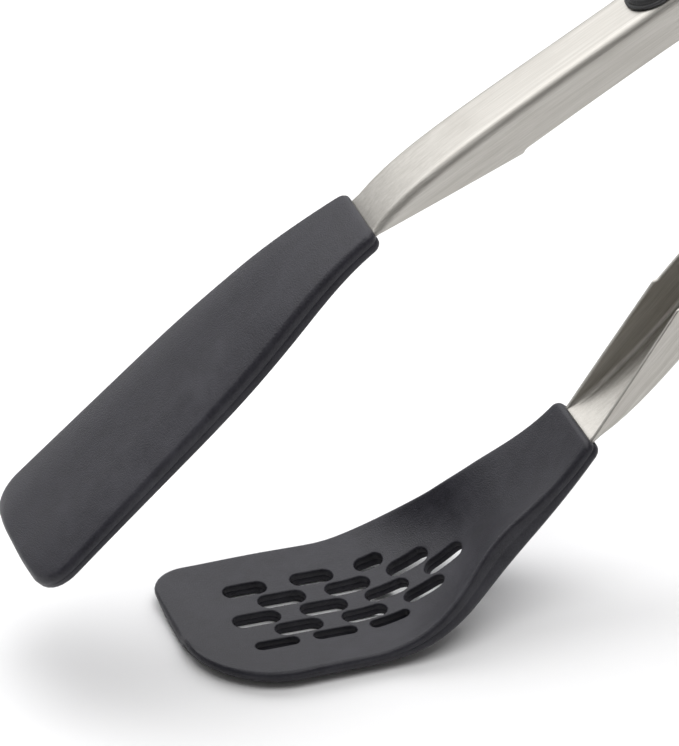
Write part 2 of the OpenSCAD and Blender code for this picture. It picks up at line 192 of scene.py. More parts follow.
@dataclass(frozen=True)
class BendPath:
    """A side view curve of arcs, each a length and the angle it turns by."""

    arcs: tuple[Point, ...]

    def at(self, distance: float) -> tuple[float, float, float]:
        """Walk along the curve.

        Args:
            distance: How far to walk from its start.

        Returns:
            The way gone along and outward, and the slope there in degrees.
        """
        along, outward, angle, left = 0.0, 0.0, 0.0, distance
        for i, (length, turn) in enumerate(self.arcs):
            last = i == len(self.arcs) - 1
            step = left if last or left <= length else length
            half = math.radians(turn / length * step) / 2
            heading = math.radians(angle) + half
            chord = step * (math.sin(half) / half if abs(half) > 1e-7 else 1.0)
            along += chord * math.cos(heading)
            outward -= chord * math.sin(heading)
            angle += turn / length * step
            left -= step
            if last or left <= 0:
                break
        return along, outward, angle


# ---- frames of reference ----


@dataclass(frozen=True)
class ArmFrame:
    """Places an arm's own coordinates in the part."""

    side: Side
    hinge: Vector
    slope: float

    def place(self, along: float, across: float, outward: float) -> Vector:
        """The point of the part at those arm coordinates.

        Args:
            along: The distance from the hinge axis.
            across: The distance from the middle.
            outward: The distance from the axis on the outer side.

        Returns:
            The point.
        """
        c, s = math.cos(math.radians(self.slope)), math.sin(math.radians(self.slope))
        sign = -1 if self.side is Side.LOWER else 1
        x = self.hinge.x - along * c - sign * outward * s
        return Vector((x, across, self.hinge.z - along * s + sign * outward * c))


@dataclass(frozen=True)
class MidFrame:
    """Places the coordinates of the lock, which lies in the plane between the arms."""

    hinge: Vector
    slope: float

    def place(self, x: float, z: float, y: float) -> Vector:
        """The point of the part at x along the bar from the hinge, z above it and y across."""
        c, s = math.cos(math.radians(self.slope)), math.sin(math.radians(self.slope))
        return Vector((self.hinge.x + x * c - z * s, y, self.hinge.z + x * s + z * c))


# ---- mesh builders ----


def make_piece(
    name: str, mesh: Mesh, body: str, slot: Slot, replaced: Sequence[str] = ()
) -> bpy.types.Object:
    """Make an object of a mesh, give it its body and hide the CAD nodes it stands for.

    Args:
        name: The piece's name.
        mesh: Its points and faces.
        body: The body it rides on, or nothing for a piece that rides on none.
        slot: The record's material slot; not used.
        replaced: The CAD nodes it replaces.

    Returns:
        The new object.
    """
    data = bpy.data.meshes.new(name)
    data.from_pydata([tuple(v) for v in mesh[0]], [], [tuple(f) for f in mesh[1]])
    work = bmesh.new()
    work.from_mesh(data)
    bmesh.ops.remove_doubles(work, verts=work.verts, dist=2e-6)
    bmesh.ops.recalc_face_normals(work, faces=work.faces)
    work.to_mesh(data)
    work.free()
    data.shade_smooth()
    piece = bpy.data.objects.new(name, data)
    bpy.context.scene.collection.objects.link(piece)
    if body:
        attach(piece, body)
    if replaced:
        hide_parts(*replaced)
    log.info("%s: %d faces", name, len(data.polygons))
    return piece


def carve(piece: bpy.types.Object, cutter_mesh: Mesh) -> None:
    """Cut a closed shape out of a piece.

    Args:
        piece: The piece to cut.
        cutter_mesh: The points and faces of the shape to take away.
    """
    data = bpy.data.meshes.new("cutter")
    data.from_pydata([tuple(v) for v in cutter_mesh[0]], [], [tuple(f) for f in cutter_mesh[1]])
    work = bmesh.new()
    work.from_mesh(data)
    bmesh.ops.recalc_face_normals(work, faces=work.faces)
    work.to_mesh(data)
    work.free()
    cutter = bpy.data.objects.new("cutter", data)
    bpy.context.scene.collection.objects.link(cutter)
    modifier = piece.modifiers.new("carve", "BOOLEAN")
    modifier.operation = "DIFFERENCE"
    modifier.solver = "EXACT"
    modifier.object = cutter
    graph = bpy.context.evaluated_depsgraph_get()
    made = bpy.data.meshes.new_from_object(piece.evaluated_get(graph))
    piece.modifiers.clear()
    old = piece.data
    piece.data = made
    made.name = piece.name
    for polygon in made.polygons:
        polygon.use_smooth = True
    bpy.data.meshes.remove(old)
    bpy.data.objects.remove(cutter)
    bpy.data.meshes.remove(data)


def crease(piece: bpy.types.Object, angle: float) -> None:
    """Shade a piece's edges sharp where they turn by more than the angle.

    Args:
        piece: The piece.
        angle: The angle in degrees.
    """
    work = bmesh.new()
    work.from_mesh(piece.data)
    for edge in work.edges:
        edge.smooth = len(edge.link_faces) != 2 or edge.calc_face_angle(0.0) < math.radians(angle)
    work.to_mesh(piece.data)
    work.free()


def box_mesh(low: Vector, high: Vector, place: Place) -> Mesh:
    """A six-sided cutter between two corners, placed by the function given.

    Args:
        low: The lower corner.
        high: The upper corner.
        place: Turns local coordinates into a point.

    Returns:
        The points and faces.
    """
    xs, ys, zs = (low.x, high.x), (low.y, high.y), (low.z, high.z)
    points = [place(x, y, z) for x in xs for y in ys for z in zs]
    return points, [(0, 1, 3, 2), (4, 6, 7, 5), (0, 4, 5, 1), (2, 3, 7, 6), (0, 2, 6, 4), (1, 5, 7, 3)]


def lathe(profile: Sequence[Point], place: Place, segments: int = 64) -> Mesh:
    """Turn a closed profile round an axis.

    Args:
        profile: Points of radius and height, in order. Radius 0 closes it on the axis.
        place: Gives the point of the part for two radial coordinates and a height.
        segments: The number of faces round the axis.

    Returns:
        The points and faces.
    """
    points, faces, rows = [], [], len(profile)
    for k in range(segments):
        a = 2 * math.pi * k / segments
        points += [place(r * math.cos(a), r * math.sin(a), h) for r, h in profile]
    for k in range(segments):
        here, there = k * rows, (k + 1) % segments * rows
        for j in range(rows):
            n = (j + 1) % rows
            if profile[j][0] == 0 and profile[n][0] == 0:
                continue
            quad = [here + j, here + n, there + n, there + j]
            if profile[j][0] == 0:
                quad.pop()
            elif profile[n][0] == 0:
                quad.pop(2)
            faces.append(tuple(quad))
    return points, faces


def loft(rings: Sequence[Sequence[Vector]]) -> Mesh:
    """Join closed rings of equal length into a skin with open ends.

    Args:
        rings: The rings in order.

    Returns:
        The points and faces.
    """
    count = len(rings[0])
    points = [p for ring in rings for p in ring]
    faces = []
    for i in range(len(rings) - 1):
        for j in range(count):
            n = (j + 1) % count
            faces.append((i * count + j, i * count + n, (i + 1) * count + n, (i + 1) * count + j))
    return points, faces


def join(*meshes: Mesh) -> Mesh:
    """Put several meshes into one.

    Args:
        meshes: The meshes.

    Returns:
        The points and faces of all of them.
    """
    points, faces = [], []
    for more_points, more_faces in meshes:
        start = len(points)
        points += more_points
        faces += [tuple(start + i for i in face) for face in more_faces]
    return points, faces


def inside(points: np.ndarray, loops: Sequence[Sequence[Point]]) -> np.ndarray:
    """Which points lie inside the first loop and outside the others.

    Args:
        points: One row of two coordinates for each point.
        loops: An outline and its holes.

    Returns:
        True for each point that lies in the material.
    """
    found = np.zeros(len(points), bool)
    x, y = points[:, 0], points[:, 1]
    for loop in loops:
        for (ax, ay), (bx, by) in zip(loop, [*loop[1:], loop[0]]):
            if ay != by:
                found ^= ((ay > y) != (by > y)) & (x < (bx - ax) * (y - ay) / (by - ay) + ax)
    return found


def clear_of(points: np.ndarray, loops: Sequence[Sequence[Point]], gap: float) -> np.ndarray:
    """Which points stay at least a gap away from every edge of the loops.

    Args:
        points: One row of two coordinates for each point.
        loops: An outline and its holes.
        gap: The distance to keep.

    Returns:
        True for each point that is clear.
    """
    keep = np.ones(len(points), bool)
    for loop in loops:
        for a, b in zip(loop, [*loop[1:], loop[0]]):
            start, way = np.array(a), np.array(b) - np.array(a)
            t = np.clip(((points - start) @ way) / max(way @ way, 1e-18), 0, 1)
            keep &= np.hypot(*(points - start - t[:, None] * way).T) > gap
    return keep


@dataclass
class Slab:
    """A solid between two height fields over a flat outline, with rounded edges and hole lips."""

    outline: list[Point]
    low: Callable[[float, float], float]
    high: Callable[[float, float], float]
    place: Place
    edge: float
    holes: list[list[Point]] = field(default_factory=list)
    lip: float = 0.0005
    spacing: float = 0.0016
    seam: float = 0.0
    steps: int = 5

    def inset(self, loop: Sequence[Point], by: float) -> list[Point]:
        """Move a loop into the material along its points' own normals.

        Args:
            loop: The loop's points.
            by: How far.

        Returns:
            The moved points.
        """
        moved = []
        for i, (x, y) in enumerate(loop):
            (ax, ay), (bx, by_) = loop[i - 1], loop[(i + 1) % len(loop)]
            dx, dy = bx - ax, by_ - ay
            size = math.hypot(dx, dy) or 1.0
            moved.append((x - by * dy / size, y + by * dx / size))
        return moved

    def levels(self) -> list[tuple[str, float, float]]:
        """The rows of points down an edge: the face each hangs from, and its shares of inset and drop.

        Returns:
            The rows, from the high face to the low one.
        """
        rows = []
        for k in range(1, self.steps + 1):
            a = math.radians(90 * k / self.steps)
            rows.append(("high", 1 - math.sin(a), 1 - math.cos(a)))
        rows += [("seam", 0.0, 0.56), ("seam", self.seam, 0.5), ("seam", 0.0, 0.44)] if self.seam else []
        for k in range(self.steps, 0, -1):
            a = math.radians(90 * k / self.steps)
            rows.append(("low", 1 - math.sin(a), 1 - math.cos(a)))
        return rows

    def point(
        self, loop_insets: dict[float, list[Point]], i: int, row: tuple[str, float, float], r: float
    ) -> Vector:
        """One point of an edge row.

        Args:
            loop_insets: The loop at each inset already worked out.
            i: The point's number in the loop.
            row: The row, as levels() gives it.
            r: The horizontal size of the rounding.

        Returns:
            The point of the part.
        """
        kind, share, drop = row
        x, y = loop_insets[share if kind != "seam" else 0.0][i]
        low, high = self.low(x, y), self.high(x, y)
        limit = 0.47 * (high - low)
        size = min(limit, r)
        if kind == "high":
            return self.place(x, y, high - size * drop)
        if kind == "low":
            return self.place(x, y, low + size * drop)
        if share:
            x, y = loop_insets[share][i]
        return self.place(x, y, low + size + (high - low - 2 * size) * drop)

    def build(self) -> Mesh:
        """Make the solid.

        Returns:
            The points and faces.
        """
        rims = [self.outline, *self.holes]
        sizes = [self.edge] + [self.lip] * len(self.holes)
        loops = [self.inset(loop, r) for loop, r in zip(rims, sizes)]
        scale = 1000.0
        flat = [(x * scale, y * scale) for loop in loops for x, y in loop]
        edges, start = [], 0
        for loop in loops:
            edges += [(start + i, start + (i + 1) % len(loop)) for i in range(len(loop))]
            start += len(loop)
        xs, ys = [p[0] for p in loops[0]], [p[1] for p in loops[0]]
        grid = []
        for row, y in enumerate(spread(min(ys), max(ys), self.spacing * 0.87)):
            shift = self.spacing / 2 * (row % 2)
            grid += [(x + shift, y) for x in spread(min(xs), max(xs), self.spacing)]
        cells = np.array(grid)
        cells = cells[inside(cells, loops) & clear_of(cells, loops, self.spacing * 0.45)]
        flat += [(x * scale, y * scale) for x, y in cells]
        verts, _, faces, origin, _, _ = delaunay_2d_cdt([Vector(p) for p in flat], edges, [], 0, 1e-5)
        middles = np.array([np.mean([verts[i][:] for i in face], axis=0) for face in faces]) / scale
        kept = [face for face, ok in zip(faces, inside(middles, loops)) if ok]
        count = len(verts)
        spots = [(v.x / scale, v.y / scale) for v in verts]
        points = [self.place(x, y, self.high(x, y)) for x, y in spots]
        points += [self.place(x, y, self.low(x, y)) for x, y in spots]
        made = [tuple(face) for face in kept] + [tuple(count + i for i in reversed(face)) for face in kept]
        home = {source: i for i, sources in enumerate(origin) for source in sources}
        rows, start = self.levels(), 0
        for rim, r in zip(rims, sizes):
            n = len(rim)
            shares = {row[1] for row in rows} | {0.0}
            insets = {s: self.inset(rim, r * s if s != self.seam else s) for s in shares}
            before = [home[start + i] for i in range(n)]
            for row in rows:
                first = len(points)
                points += [self.point(insets, i, row, r) for i in range(n)]
                here = [first + i for i in range(n)]
                made += [(before[i], before[(i + 1) % n], here[(i + 1) % n], here[i]) for i in range(n)]
                before = here
            last = [count + home[start + i] for i in range(n)]
            made += [(before[i], before[(i + 1) % n], last[(i + 1) % n], last[i]) for i in range(n)]
            start += n
        return self.tidy(points, made)

    def tidy(self, points: list[Vector], faces: list[tuple[int, ...]]) -> Mesh:
        """Leave out the points that no face uses.

        Args:
            points: The points.
            faces: The faces, as rows of point numbers.

        Returns:
            The points and faces that are left.
        """
        used = sorted({i for face in faces for i in face})
        new = {old: i for i, old in enumerate(used)}
        return [points[i] for i in used], [tuple(new[i] for i in face) for face in faces]


# ---- materials ----


class NodeSheet:
    """Adds and joins the nodes of one material or group."""

    def __init__(self, tree: bpy.types.NodeTree) -> None:
        """Start on an empty tree."""
        self.tree = tree
        tree.nodes.clear()

    def add(self, kind: str, values: dict[str | int, object] | None = None, **settings: object) -> Node:
        """Add a node.

        Args:
            kind: The node's type.
            values: Socket names or numbers with a plain value, or an output socket to join to.
            settings: The node's own properties.

        Returns:
            The node.
        """
        node = self.tree.nodes.new(kind)
        for name, value in settings.items():
            setattr(node, name, value)
        for name, value in (values or {}).items():
            socket = node.inputs[name]
            if isinstance(value, Socket):
                self.tree.links.new(value, socket)
            else:
                socket.default_value = value
        return node

    def ramp(self, value: Socket, low: float, high: float, start: float = 0.0, end: float = 1.0) -> Socket:
        """Stretch a value from low..high to start..end, clamped."""
        values = {"Value": value, "From Min": low, "From Max": high, "To Min": start, "To Max": end}
        return self.add("ShaderNodeMapRange", values).outputs["Result"]

    def ease(self, value: Socket, low: object, high: object) -> Socket:
        """Stretch a value from low..high to 0..1 with soft ends."""
        values = {"Value": value, "From Min": low, "From Max": high}
        return self.add("ShaderNodeMapRange", values, interpolation_type="SMOOTHSTEP").outputs[0]

    def noise(self, where: Socket, scale: object, detail: float, rough: float, warp: float = 0.0) -> Socket:
        """A cloud of noise from 0 to 1."""
        values = {"Vector": where, "Scale": scale, "Detail": detail, "Roughness": rough, "Distortion": warp}
        return self.add("ShaderNodeTexNoise", values).outputs[0]

    def scaled(self, value: Socket, factor: float) -> Socket:
        """A value times a factor."""
        return self.sums("MULTIPLY", value, factor)

    def blend(self, share: Socket, a: object, b: object) -> Socket:
        """Mix two colours.

        Args:
            share: The share of the second.
            a: The first, a colour or a socket.
            b: The second.

        Returns:
            The mixed colour.
        """
        node = self.add("ShaderNodeMix", data_type="RGBA")
        for index, value in ((0, share), (6, a), (7, b)):
            if isinstance(value, Socket):
                self.tree.links.new(value, node.inputs[index])
            else:
                node.inputs[index].default_value = value
        return node.outputs[2]

    def sums(self, operation: str, a: object, b: object) -> Socket:
        """One arithmetic step."""
        return self.add("ShaderNodeMath", {0: a, 1: b}, operation=operation).outputs[0]


class Effect(Enum):
    """The surface effects that several finishes share, each a node group."""

    SPECKLE = "moulded_speckle"
    BRUSHING = "brushed_grain"
    MARKS = "handling_marks"
    # Paler sharp edges: partly worn, partly a painted edge highlight.
    WEAR_AND_HIGHLIGHT = "edge_wear_and_highlight"


class Effects:
    """Builds each shared effect once and hands out its node group."""

    SOCKETS = {
        Effect.SPECKLE: (("Grain", 2500.0), ("Mottle", 260.0)),
        Effect.BRUSHING: (("Fineness", 5200.0), ("Stretch", 0.012), ("Slope", 0.0)),
        Effect.MARKS: (("Size", 45.0), ("Cover", 0.5)),
        Effect.WEAR_AND_HIGHLIGHT: (("Start", 0.52), ("Full", 0.6)),
    }

    def __init__(self) -> None:
        """Start with no groups."""
        self.made: dict[Effect, bpy.types.NodeTree] = {}

    def group(self, effect: Effect) -> bpy.types.NodeTree:
        """The effect's node group, built at its first use.

        Args:
            effect: The effect.

        Returns:
            Its group, with the outputs Shade and Height.
        """
        if effect not in self.made:
            tree = bpy.data.node_groups.new(effect.value, "ShaderNodeTree")
            sheet = NodeSheet(tree)
            for name, value in self.SOCKETS[effect]:
                socket = tree.interface.new_socket(name, in_out="INPUT", socket_type="NodeSocketFloat")
                socket.default_value = value
            for name in ("Shade", "Height"):
                tree.interface.new_socket(name, in_out="OUTPUT", socket_type="NodeSocketFloat")
            start = sheet.add("NodeGroupInput").outputs
            shade, height = getattr(self, effect.name.lower())(sheet, start)
            sheet.add("NodeGroupOutput", {"Shade": shade, "Height": height})
            self.made[effect] = tree
        return self.made[effect]

    def speckle(self, sheet: NodeSheet, start: Sockets) -> tuple[Socket, Socket]:
        """Fine grain with slow mottling, as on a matt moulding.

        Args:
            sheet: The group's sheet.
            start: The group's inputs.

        Returns:
            The shade, about 0.5 in the middle, and the height.
        """
        where = sheet.add("ShaderNodeTexCoord").outputs["Object"]
        fine = sheet.noise(where, start["Grain"], 3.0, 0.6)
        slow = sheet.noise(where, start["Mottle"], 4.0, 0.65)
        pits = sheet.add("ShaderNodeTexVoronoi", {"Vector": where, "Scale": start["Grain"]})
        shade = sheet.sums("ADD", sheet.scaled(fine, 0.5), sheet.scaled(slow, 0.5))
        height = sheet.sums("ADD", fine, sheet.scaled(pits.outputs["Distance"], 0.35))
        return shade, height

    def brushing(self, sheet: NodeSheet, start: Sockets) -> tuple[Socket, Socket]:
        """Fine parallel scratches that run down a sloping arm.

        Args:
            sheet: The group's sheet.
            start: The group's inputs.

        Returns:
            The shade and the height.
        """
        where = sheet.add("ShaderNodeTexCoord").outputs["Object"]
        tilt = {"Vector": where, "Angle": start["Slope"]}
        turned = sheet.add("ShaderNodeVectorRotate", tilt, rotation_type="Y_AXIS").outputs[0]
        factors = sheet.add("ShaderNodeCombineXYZ", {"X": start["Stretch"], "Y": 1.0, "Z": 1.0}).outputs[0]
        drawn = sheet.add("ShaderNodeVectorMath", {0: turned, 1: factors}, operation="MULTIPLY").outputs[0]
        fine = sheet.noise(drawn, start["Fineness"], 2.0, 0.7)
        wide = sheet.noise(drawn, sheet.scaled(start["Fineness"], 0.22), 3.0, 0.6)
        return sheet.sums("ADD", sheet.scaled(fine, 0.55), sheet.scaled(wide, 0.45)), fine

    def marks(self, sheet: NodeSheet, start: Sockets) -> tuple[Socket, Socket]:
        """Broad soft patches where a hand or cloth has been.

        Args:
            sheet: The group's sheet.
            start: The group's inputs.

        Returns:
            The mask and the height.
        """
        where = sheet.add("ShaderNodeTexCoord").outputs["Object"]
        cloud = sheet.noise(where, start["Size"], 5.0, 0.55, 0.6)
        low = sheet.sums("SUBTRACT", 0.85, sheet.scaled(start["Cover"], 0.6))
        return sheet.ease(cloud, low, sheet.sums("ADD", low, 0.25)), cloud

    def wear_and_highlight(self, sheet: NodeSheet, start: Sockets) -> tuple[Socket, Socket]:
        """Worn edges and a painted edge highlight, both found from how sharply the surface turns.

        Args:
            sheet: The group's sheet.
            start: The group's inputs.

        Returns:
            The mask and the height.
        """
        # Sharp edges get the mask: worn edges and a painted edge highlight in one.
        sharp = sheet.add("ShaderNodeNewGeometry").outputs["Pointiness"]
        return sheet.ease(sharp, start["Start"], start["Full"]), sharp


EFFECTS = Effects()


class Finish:
    """What every finish has in common: a material with one Principled shader."""

    def begin(self, name: str) -> tuple[bpy.types.Material, NodeSheet, Node]:
        """Start a material.

        Args:
            name: Its name.

        Returns:
            The material, its sheet and its shader node.
        """
        material = bpy.data.materials.new(name)
        material.use_nodes = True
        sheet = NodeSheet(material.node_tree)
        shader = sheet.add("ShaderNodeBsdfPrincipled")
        sheet.add("ShaderNodeOutputMaterial", {"Surface": shader.outputs[0]})
        return material, sheet, shader

    def effect(self, sheet: NodeSheet, effect: Effect, **values: float) -> Sockets:
        """Place a shared effect in a material.

        Args:
            sheet: The material's sheet.
            effect: The effect.
            values: Its inputs, by name.

        Returns:
            The group's outputs, Shade and Height.
        """
        node = sheet.add("ShaderNodeGroup", node_tree=EFFECTS.group(effect))
        for name, value in values.items():
            node.inputs[name].default_value = value
        return node.outputs

    def set_plain(self, shader: Node, **values: float) -> None:
        """Set sockets that are the same all over, with _ for each space in a name."""
        for name, value in values.items():
            shader.inputs[name.replace("_", " ")].default_value = value

    def bump(self, sheet: NodeSheet, shader: Node, height: Socket, depth: float) -> None:
        """Drive the shader's normal from a height."""
        node = sheet.add("ShaderNodeBump", {"Height": height, "Strength": 1.0, "Distance": depth})
        sheet.tree.links.new(node.outputs[0], shader.inputs["Normal"])


@dataclass(frozen=True)
class MouldedFinish(Finish):
    """Matt rubber, silicone or nylon with a fine speckle, paler in dusty patches and on its sharp edges,
    which are partly worn and partly a painted edge highlight.
    """

    name: str
    dark: Colour
    light: Colour
    worn_dusty_and_highlit: Colour
    rough: Point
    grain: float = 2600.0
    depth: float = 0.00009
    wear_and_highlight: float = 0.5
    specular: float = 0.5

    def material(self) -> bpy.types.Material:
        """Make the material.

        Returns:
            The material.
        """
        made, sheet, shader = self.begin(self.name)
        speckle = self.effect(sheet, Effect.SPECKLE, Grain=self.grain)
        marks = self.effect(sheet, Effect.MARKS, Size=38.0, Cover=0.55)
        # Sharp-edge mask: partly worn edges, partly a painted edge highlight.
        wear_and_highlight = self.effect(sheet, Effect.WEAR_AND_HIGHLIGHT)
        base = sheet.blend(sheet.ramp(speckle["Shade"], 0.41, 0.59), (*self.dark, 1), (*self.light, 1))
        dusty = sheet.blend(sheet.scaled(marks["Shade"], 0.4), base, (*self.worn_dusty_and_highlit, 1))
        # Painted edge highlight mixed with worn edges: sharp edges blend towards the pale colour.
        colour = sheet.blend(sheet.scaled(wear_and_highlight["Shade"], self.wear_and_highlight), dusty, (*self.worn_dusty_and_highlit, 1))
        sheet.tree.links.new(colour, shader.inputs["Base Color"])
        matt = sheet.sums("ADD", speckle["Shade"], sheet.scaled(marks["Shade"], 0.25))
        rough = sheet.ramp(matt, 0.35, 0.8, *self.rough)
        sheet.tree.links.new(rough, shader.inputs["Roughness"])
        self.set_plain(shader, Specular_IOR_Level=self.specular)
        self.bump(sheet, shader, speckle["Height"], self.depth)
        return made


@dataclass(frozen=True)
class SteelFinish(Finish):
    """Stainless steel with fine scratches along a slope, broad handling marks and lighter sharp edges, partly
    worn and partly a painted edge highlight.
    """

    name: str
    dark: Colour
    light: Colour
    slope: float
    rough: Point
    fineness: float = 5200.0
    stretch: float = 0.012
    depth: float = 0.000006

    def material(self) -> bpy.types.Material:
        """Make the material.

        Returns:
            The material.
        """
        made, sheet, shader = self.begin(self.name)
        turn = math.radians(self.slope)
        brush = self.effect(sheet, Effect.BRUSHING, Fineness=self.fineness, Stretch=self.stretch, Slope=turn)
        marks = self.effect(sheet, Effect.MARKS, Size=70.0, Cover=0.5)
        # Sharp-edge mask: partly worn edges, partly a painted edge highlight.
        wear_and_highlight = self.effect(sheet, Effect.WEAR_AND_HIGHLIGHT, Start=0.53, Full=0.66)
        base = sheet.blend(sheet.ramp(brush["Shade"], 0.36, 0.64), (*self.dark, 1), (*self.light, 1))
        dull = sheet.blend(sheet.scaled(marks["Shade"], 0.35), base, (*self.dark, 1))
        # Painted edge highlight mixed with worn edges: sharp edges blend towards the light steel colour.
        colour = sheet.blend(sheet.scaled(wear_and_highlight["Shade"], 0.3), dull, (*self.light, 1))
        sheet.tree.links.new(colour, shader.inputs["Base Color"])
        matt = sheet.sums("ADD", brush["Shade"], sheet.scaled(marks["Shade"], 0.2))
        rough = sheet.ramp(matt, 0.35, 0.8, *self.rough)
        sheet.tree.links.new(rough, shader.inputs["Roughness"])
        self.set_plain(shader, Metallic=1.0)
        self.bump(sheet, shader, brush["Height"], self.depth)
        return made


# ---- the tongs ----


def pin_middle() -> Vector:
    """The middle of the hinge axis, from the pin's own box."""
    low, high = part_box("hinge_pin")
    return Vector(((low.x + high.x) / 2, 0.0, (low.z + high.z) / 2))


@dataclass
class Layout:
    """The sizes that several pieces share, as the frame has them."""

    arm_len: float = 0.225
    neck_w: float = 0.017
    waist_w: float = 0.0148
    hinge_w: float = 0.019
    sheet: float = 0.001
    pivot: float = 0.0055
    web_rise: float = 0.00496
    flange_edge: float = 0.00026
    wall: float = 0.002
    open_angle: float = 19.0
    lower_slope: float = 49.5
    running_gap: float = 0.00005
    hinge: Vector = field(default_factory=pin_middle)

    def arm(self, side: Side) -> ArmFrame:
        """The frame of reference of one arm."""
        slope = self.lower_slope if side is Side.LOWER else self.lower_slope - self.open_angle
        return ArmFrame(side, self.hinge, slope)

    def middle(self) -> MidFrame:
        """The frame of reference of the lock."""
        return MidFrame(self.hinge, self.lower_slope - self.open_angle / 2)

    def web(self) -> float:
        """The outer face of an arm's web, outward from the hinge axis."""
        return self.pivot + self.web_rise

    def ear_half(self, side: Side) -> float:
        """Half the outside width of an arm at its hinge ears."""
        upper = self.hinge_w / 2
        return upper if side is Side.UPPER else upper - self.sheet - 0.0003


@dataclass
class Arm:
    """One pressed steel channel with its hinge ears and lock hook."""

    side: Side
    layout: Layout
    finish: SteelFinish
    fold: float = 0.0021
    step_at: float = 0.0375
    ear: float = 0.007
    hook_at: float = 0.0595
    hook_depth: float = 0.0
    hook_floor: float = 0.00085
    narrowing: float = 0.07
    waist_at: float = 0.075
    widening: float = 0.04
    web_run: float = 0.012
    flange_fall: float = 0.0048
    step_len: float = 0.0016
    rounding: float = 0.00022

    def half_width(self, s: float) -> float:
        """Half the channel's width at distance s behind the neck.

        Args:
            s: The distance behind the neck.

        Returns:
            The half width.
        """
        k = self.layout
        if s < self.waist_at:
            return mix(k.neck_w, k.waist_w, s / self.narrowing) / 2
        return mix(k.waist_w / 2, k.ear_half(self.side), (s - self.waist_at) / self.widening)

    def top(self, s: float) -> float:
        """The web's outer face at distance s behind the neck."""
        k = self.layout
        return k.pivot + k.web_rise * (1 - math.exp(-max(s, 0.0) / self.web_run))

    def bottom(self, along: float) -> float:
        """The height of the flange edge.

        Args:
            along: The distance from the hinge axis.

        Returns:
            The edge's outward coordinate.
        """
        k = self.layout
        s = k.arm_len - along
        if abs(along) < self.ear:
            return min(k.flange_edge, -math.sqrt(self.ear**2 - along**2))
        if s < 0:
            return k.pivot - k.sheet
        if s < self.step_at:
            return k.pivot - k.sheet - self.flange_fall * s / self.step_at
        low = k.pivot - k.sheet - self.flange_fall
        return mix(low, k.flange_edge, (s - self.step_at) / self.step_len)

    def section(
        self, half: float, top: float, bottom: float, fold: float, rows: int = 10, columns: int = 12
    ) -> list[Point]:
        """The line of one face of the sheet, from one flange edge over the web to the other.

        Args:
            half: Half its width.
            top: Its height at the web.
            bottom: Its height at the flange edges.
            fold: The radius of the folds.
            rows: Edges down each flange.
            columns: Edges across the web.

        Returns:
            Points of across and outward.
        """
        side = [(half, bottom + (top - fold - bottom) * i / rows) for i in range(rows)]
        for i in range(7):
            a = math.radians(15 * i)
            side.append((half - fold + fold * math.cos(a), top - fold + fold * math.sin(a)))
        web = [((half - fold) * (1 - 2 * i / columns), top) for i in range(1, columns)]
        return side + web + [(-x, y) for x, y in reversed(side)]

    def ring(self, frame_of: ArmFrame, along: float) -> list[Vector]:
        """The closed outline of the sheet at one place.

        Args:
            frame_of: The arm's frame of reference.
            along: The distance from the hinge axis.

        Returns:
            The outline's points in the part.
        """
        k = self.layout
        s = k.arm_len - along
        half, top, bottom = self.half_width(max(s, 0.0)), self.top(s), self.bottom(along)
        fold = min(self.fold, (top - bottom) * 0.9)
        outer = self.section(half, top, bottom + self.rounding, fold)
        inner_fold = max(fold - k.sheet, 0.00012)
        low = min(bottom + self.rounding, top - k.sheet - inner_fold - 0.00001)
        inner = self.section(half - k.sheet, top - k.sheet, low, inner_fold)
        nose = min(bottom, low)
        edge = [(half - self.rounding, nose), (half - k.sheet + self.rounding, nose)]
        loop = outer + [(-x, y) for x, y in edge] + inner[::-1] + [(x, y) for x, y in reversed(edge)]
        return [frame_of.place(along, y, t) for y, t in loop]

    def stations(self) -> list[float]:
        """The distances from the hinge axis where the channel has a section.

        Returns:
            The distances.
        """
        k = self.layout
        neck = [k.arm_len + 0.0025, k.arm_len + 0.001]
        pressed = [k.arm_len - s for s in spread(0.0, self.step_at - 0.0001, 0.0012)]
        step = [k.arm_len - self.step_at - d for d in (0.0, 0.0003, 0.0006, 0.0009, 0.0012, 0.0016)]
        body = spread(k.arm_len - self.step_at - 0.003, self.ear + 0.0004, 0.003)
        ear = [self.ear * math.cos(math.radians(a)) for a in range(0, 91, 6)]
        return neck + pressed + step + body + ear + [-0.0008]

    def ear_plate(self, frame_of: ArmFrame, sign: int) -> Mesh:
        """The end of one ear, past the end of the web.

        Args:
            frame_of: The arm's frame of reference.
            sign: +1 for the far ear and -1 for the near one.

        Returns:
            The points and faces.
        """
        outer = self.layout.ear_half(self.side) * sign
        inner = outer - self.layout.sheet * sign
        top = self.layout.web() - self.fold
        rings = []
        for a in range(0, 91, 6):
            along = -0.0008 - (self.ear - 0.0008) * math.sin(math.radians(a))
            low = -math.sqrt(max(self.ear**2 - along**2, 1e-10))
            slant = top - (top - 0.0046) * smooth((-along - 0.0008) / 0.0046)
            high = min(slant, max(-low, 0.00001)) if along < -0.0053 else slant
            rows = [(low + 0.0002, outer), (high - 0.0002, outer), (high, outer - 0.0002 * sign)]
            rows += [(high, inner + 0.0002 * sign), (high - 0.0002, inner), (low + 0.0002, inner)]
            rows += [(low, inner + 0.0002 * sign), (low, outer - 0.0002 * sign)]
            rings.append([frame_of.place(along, y, t) for t, y in rows])
        points, faces = loft(rings)
        count = len(rings[0])
        last = (len(rings) - 1) * count
        return points, [*faces, tuple(range(count)), tuple(range(last, last + count))]

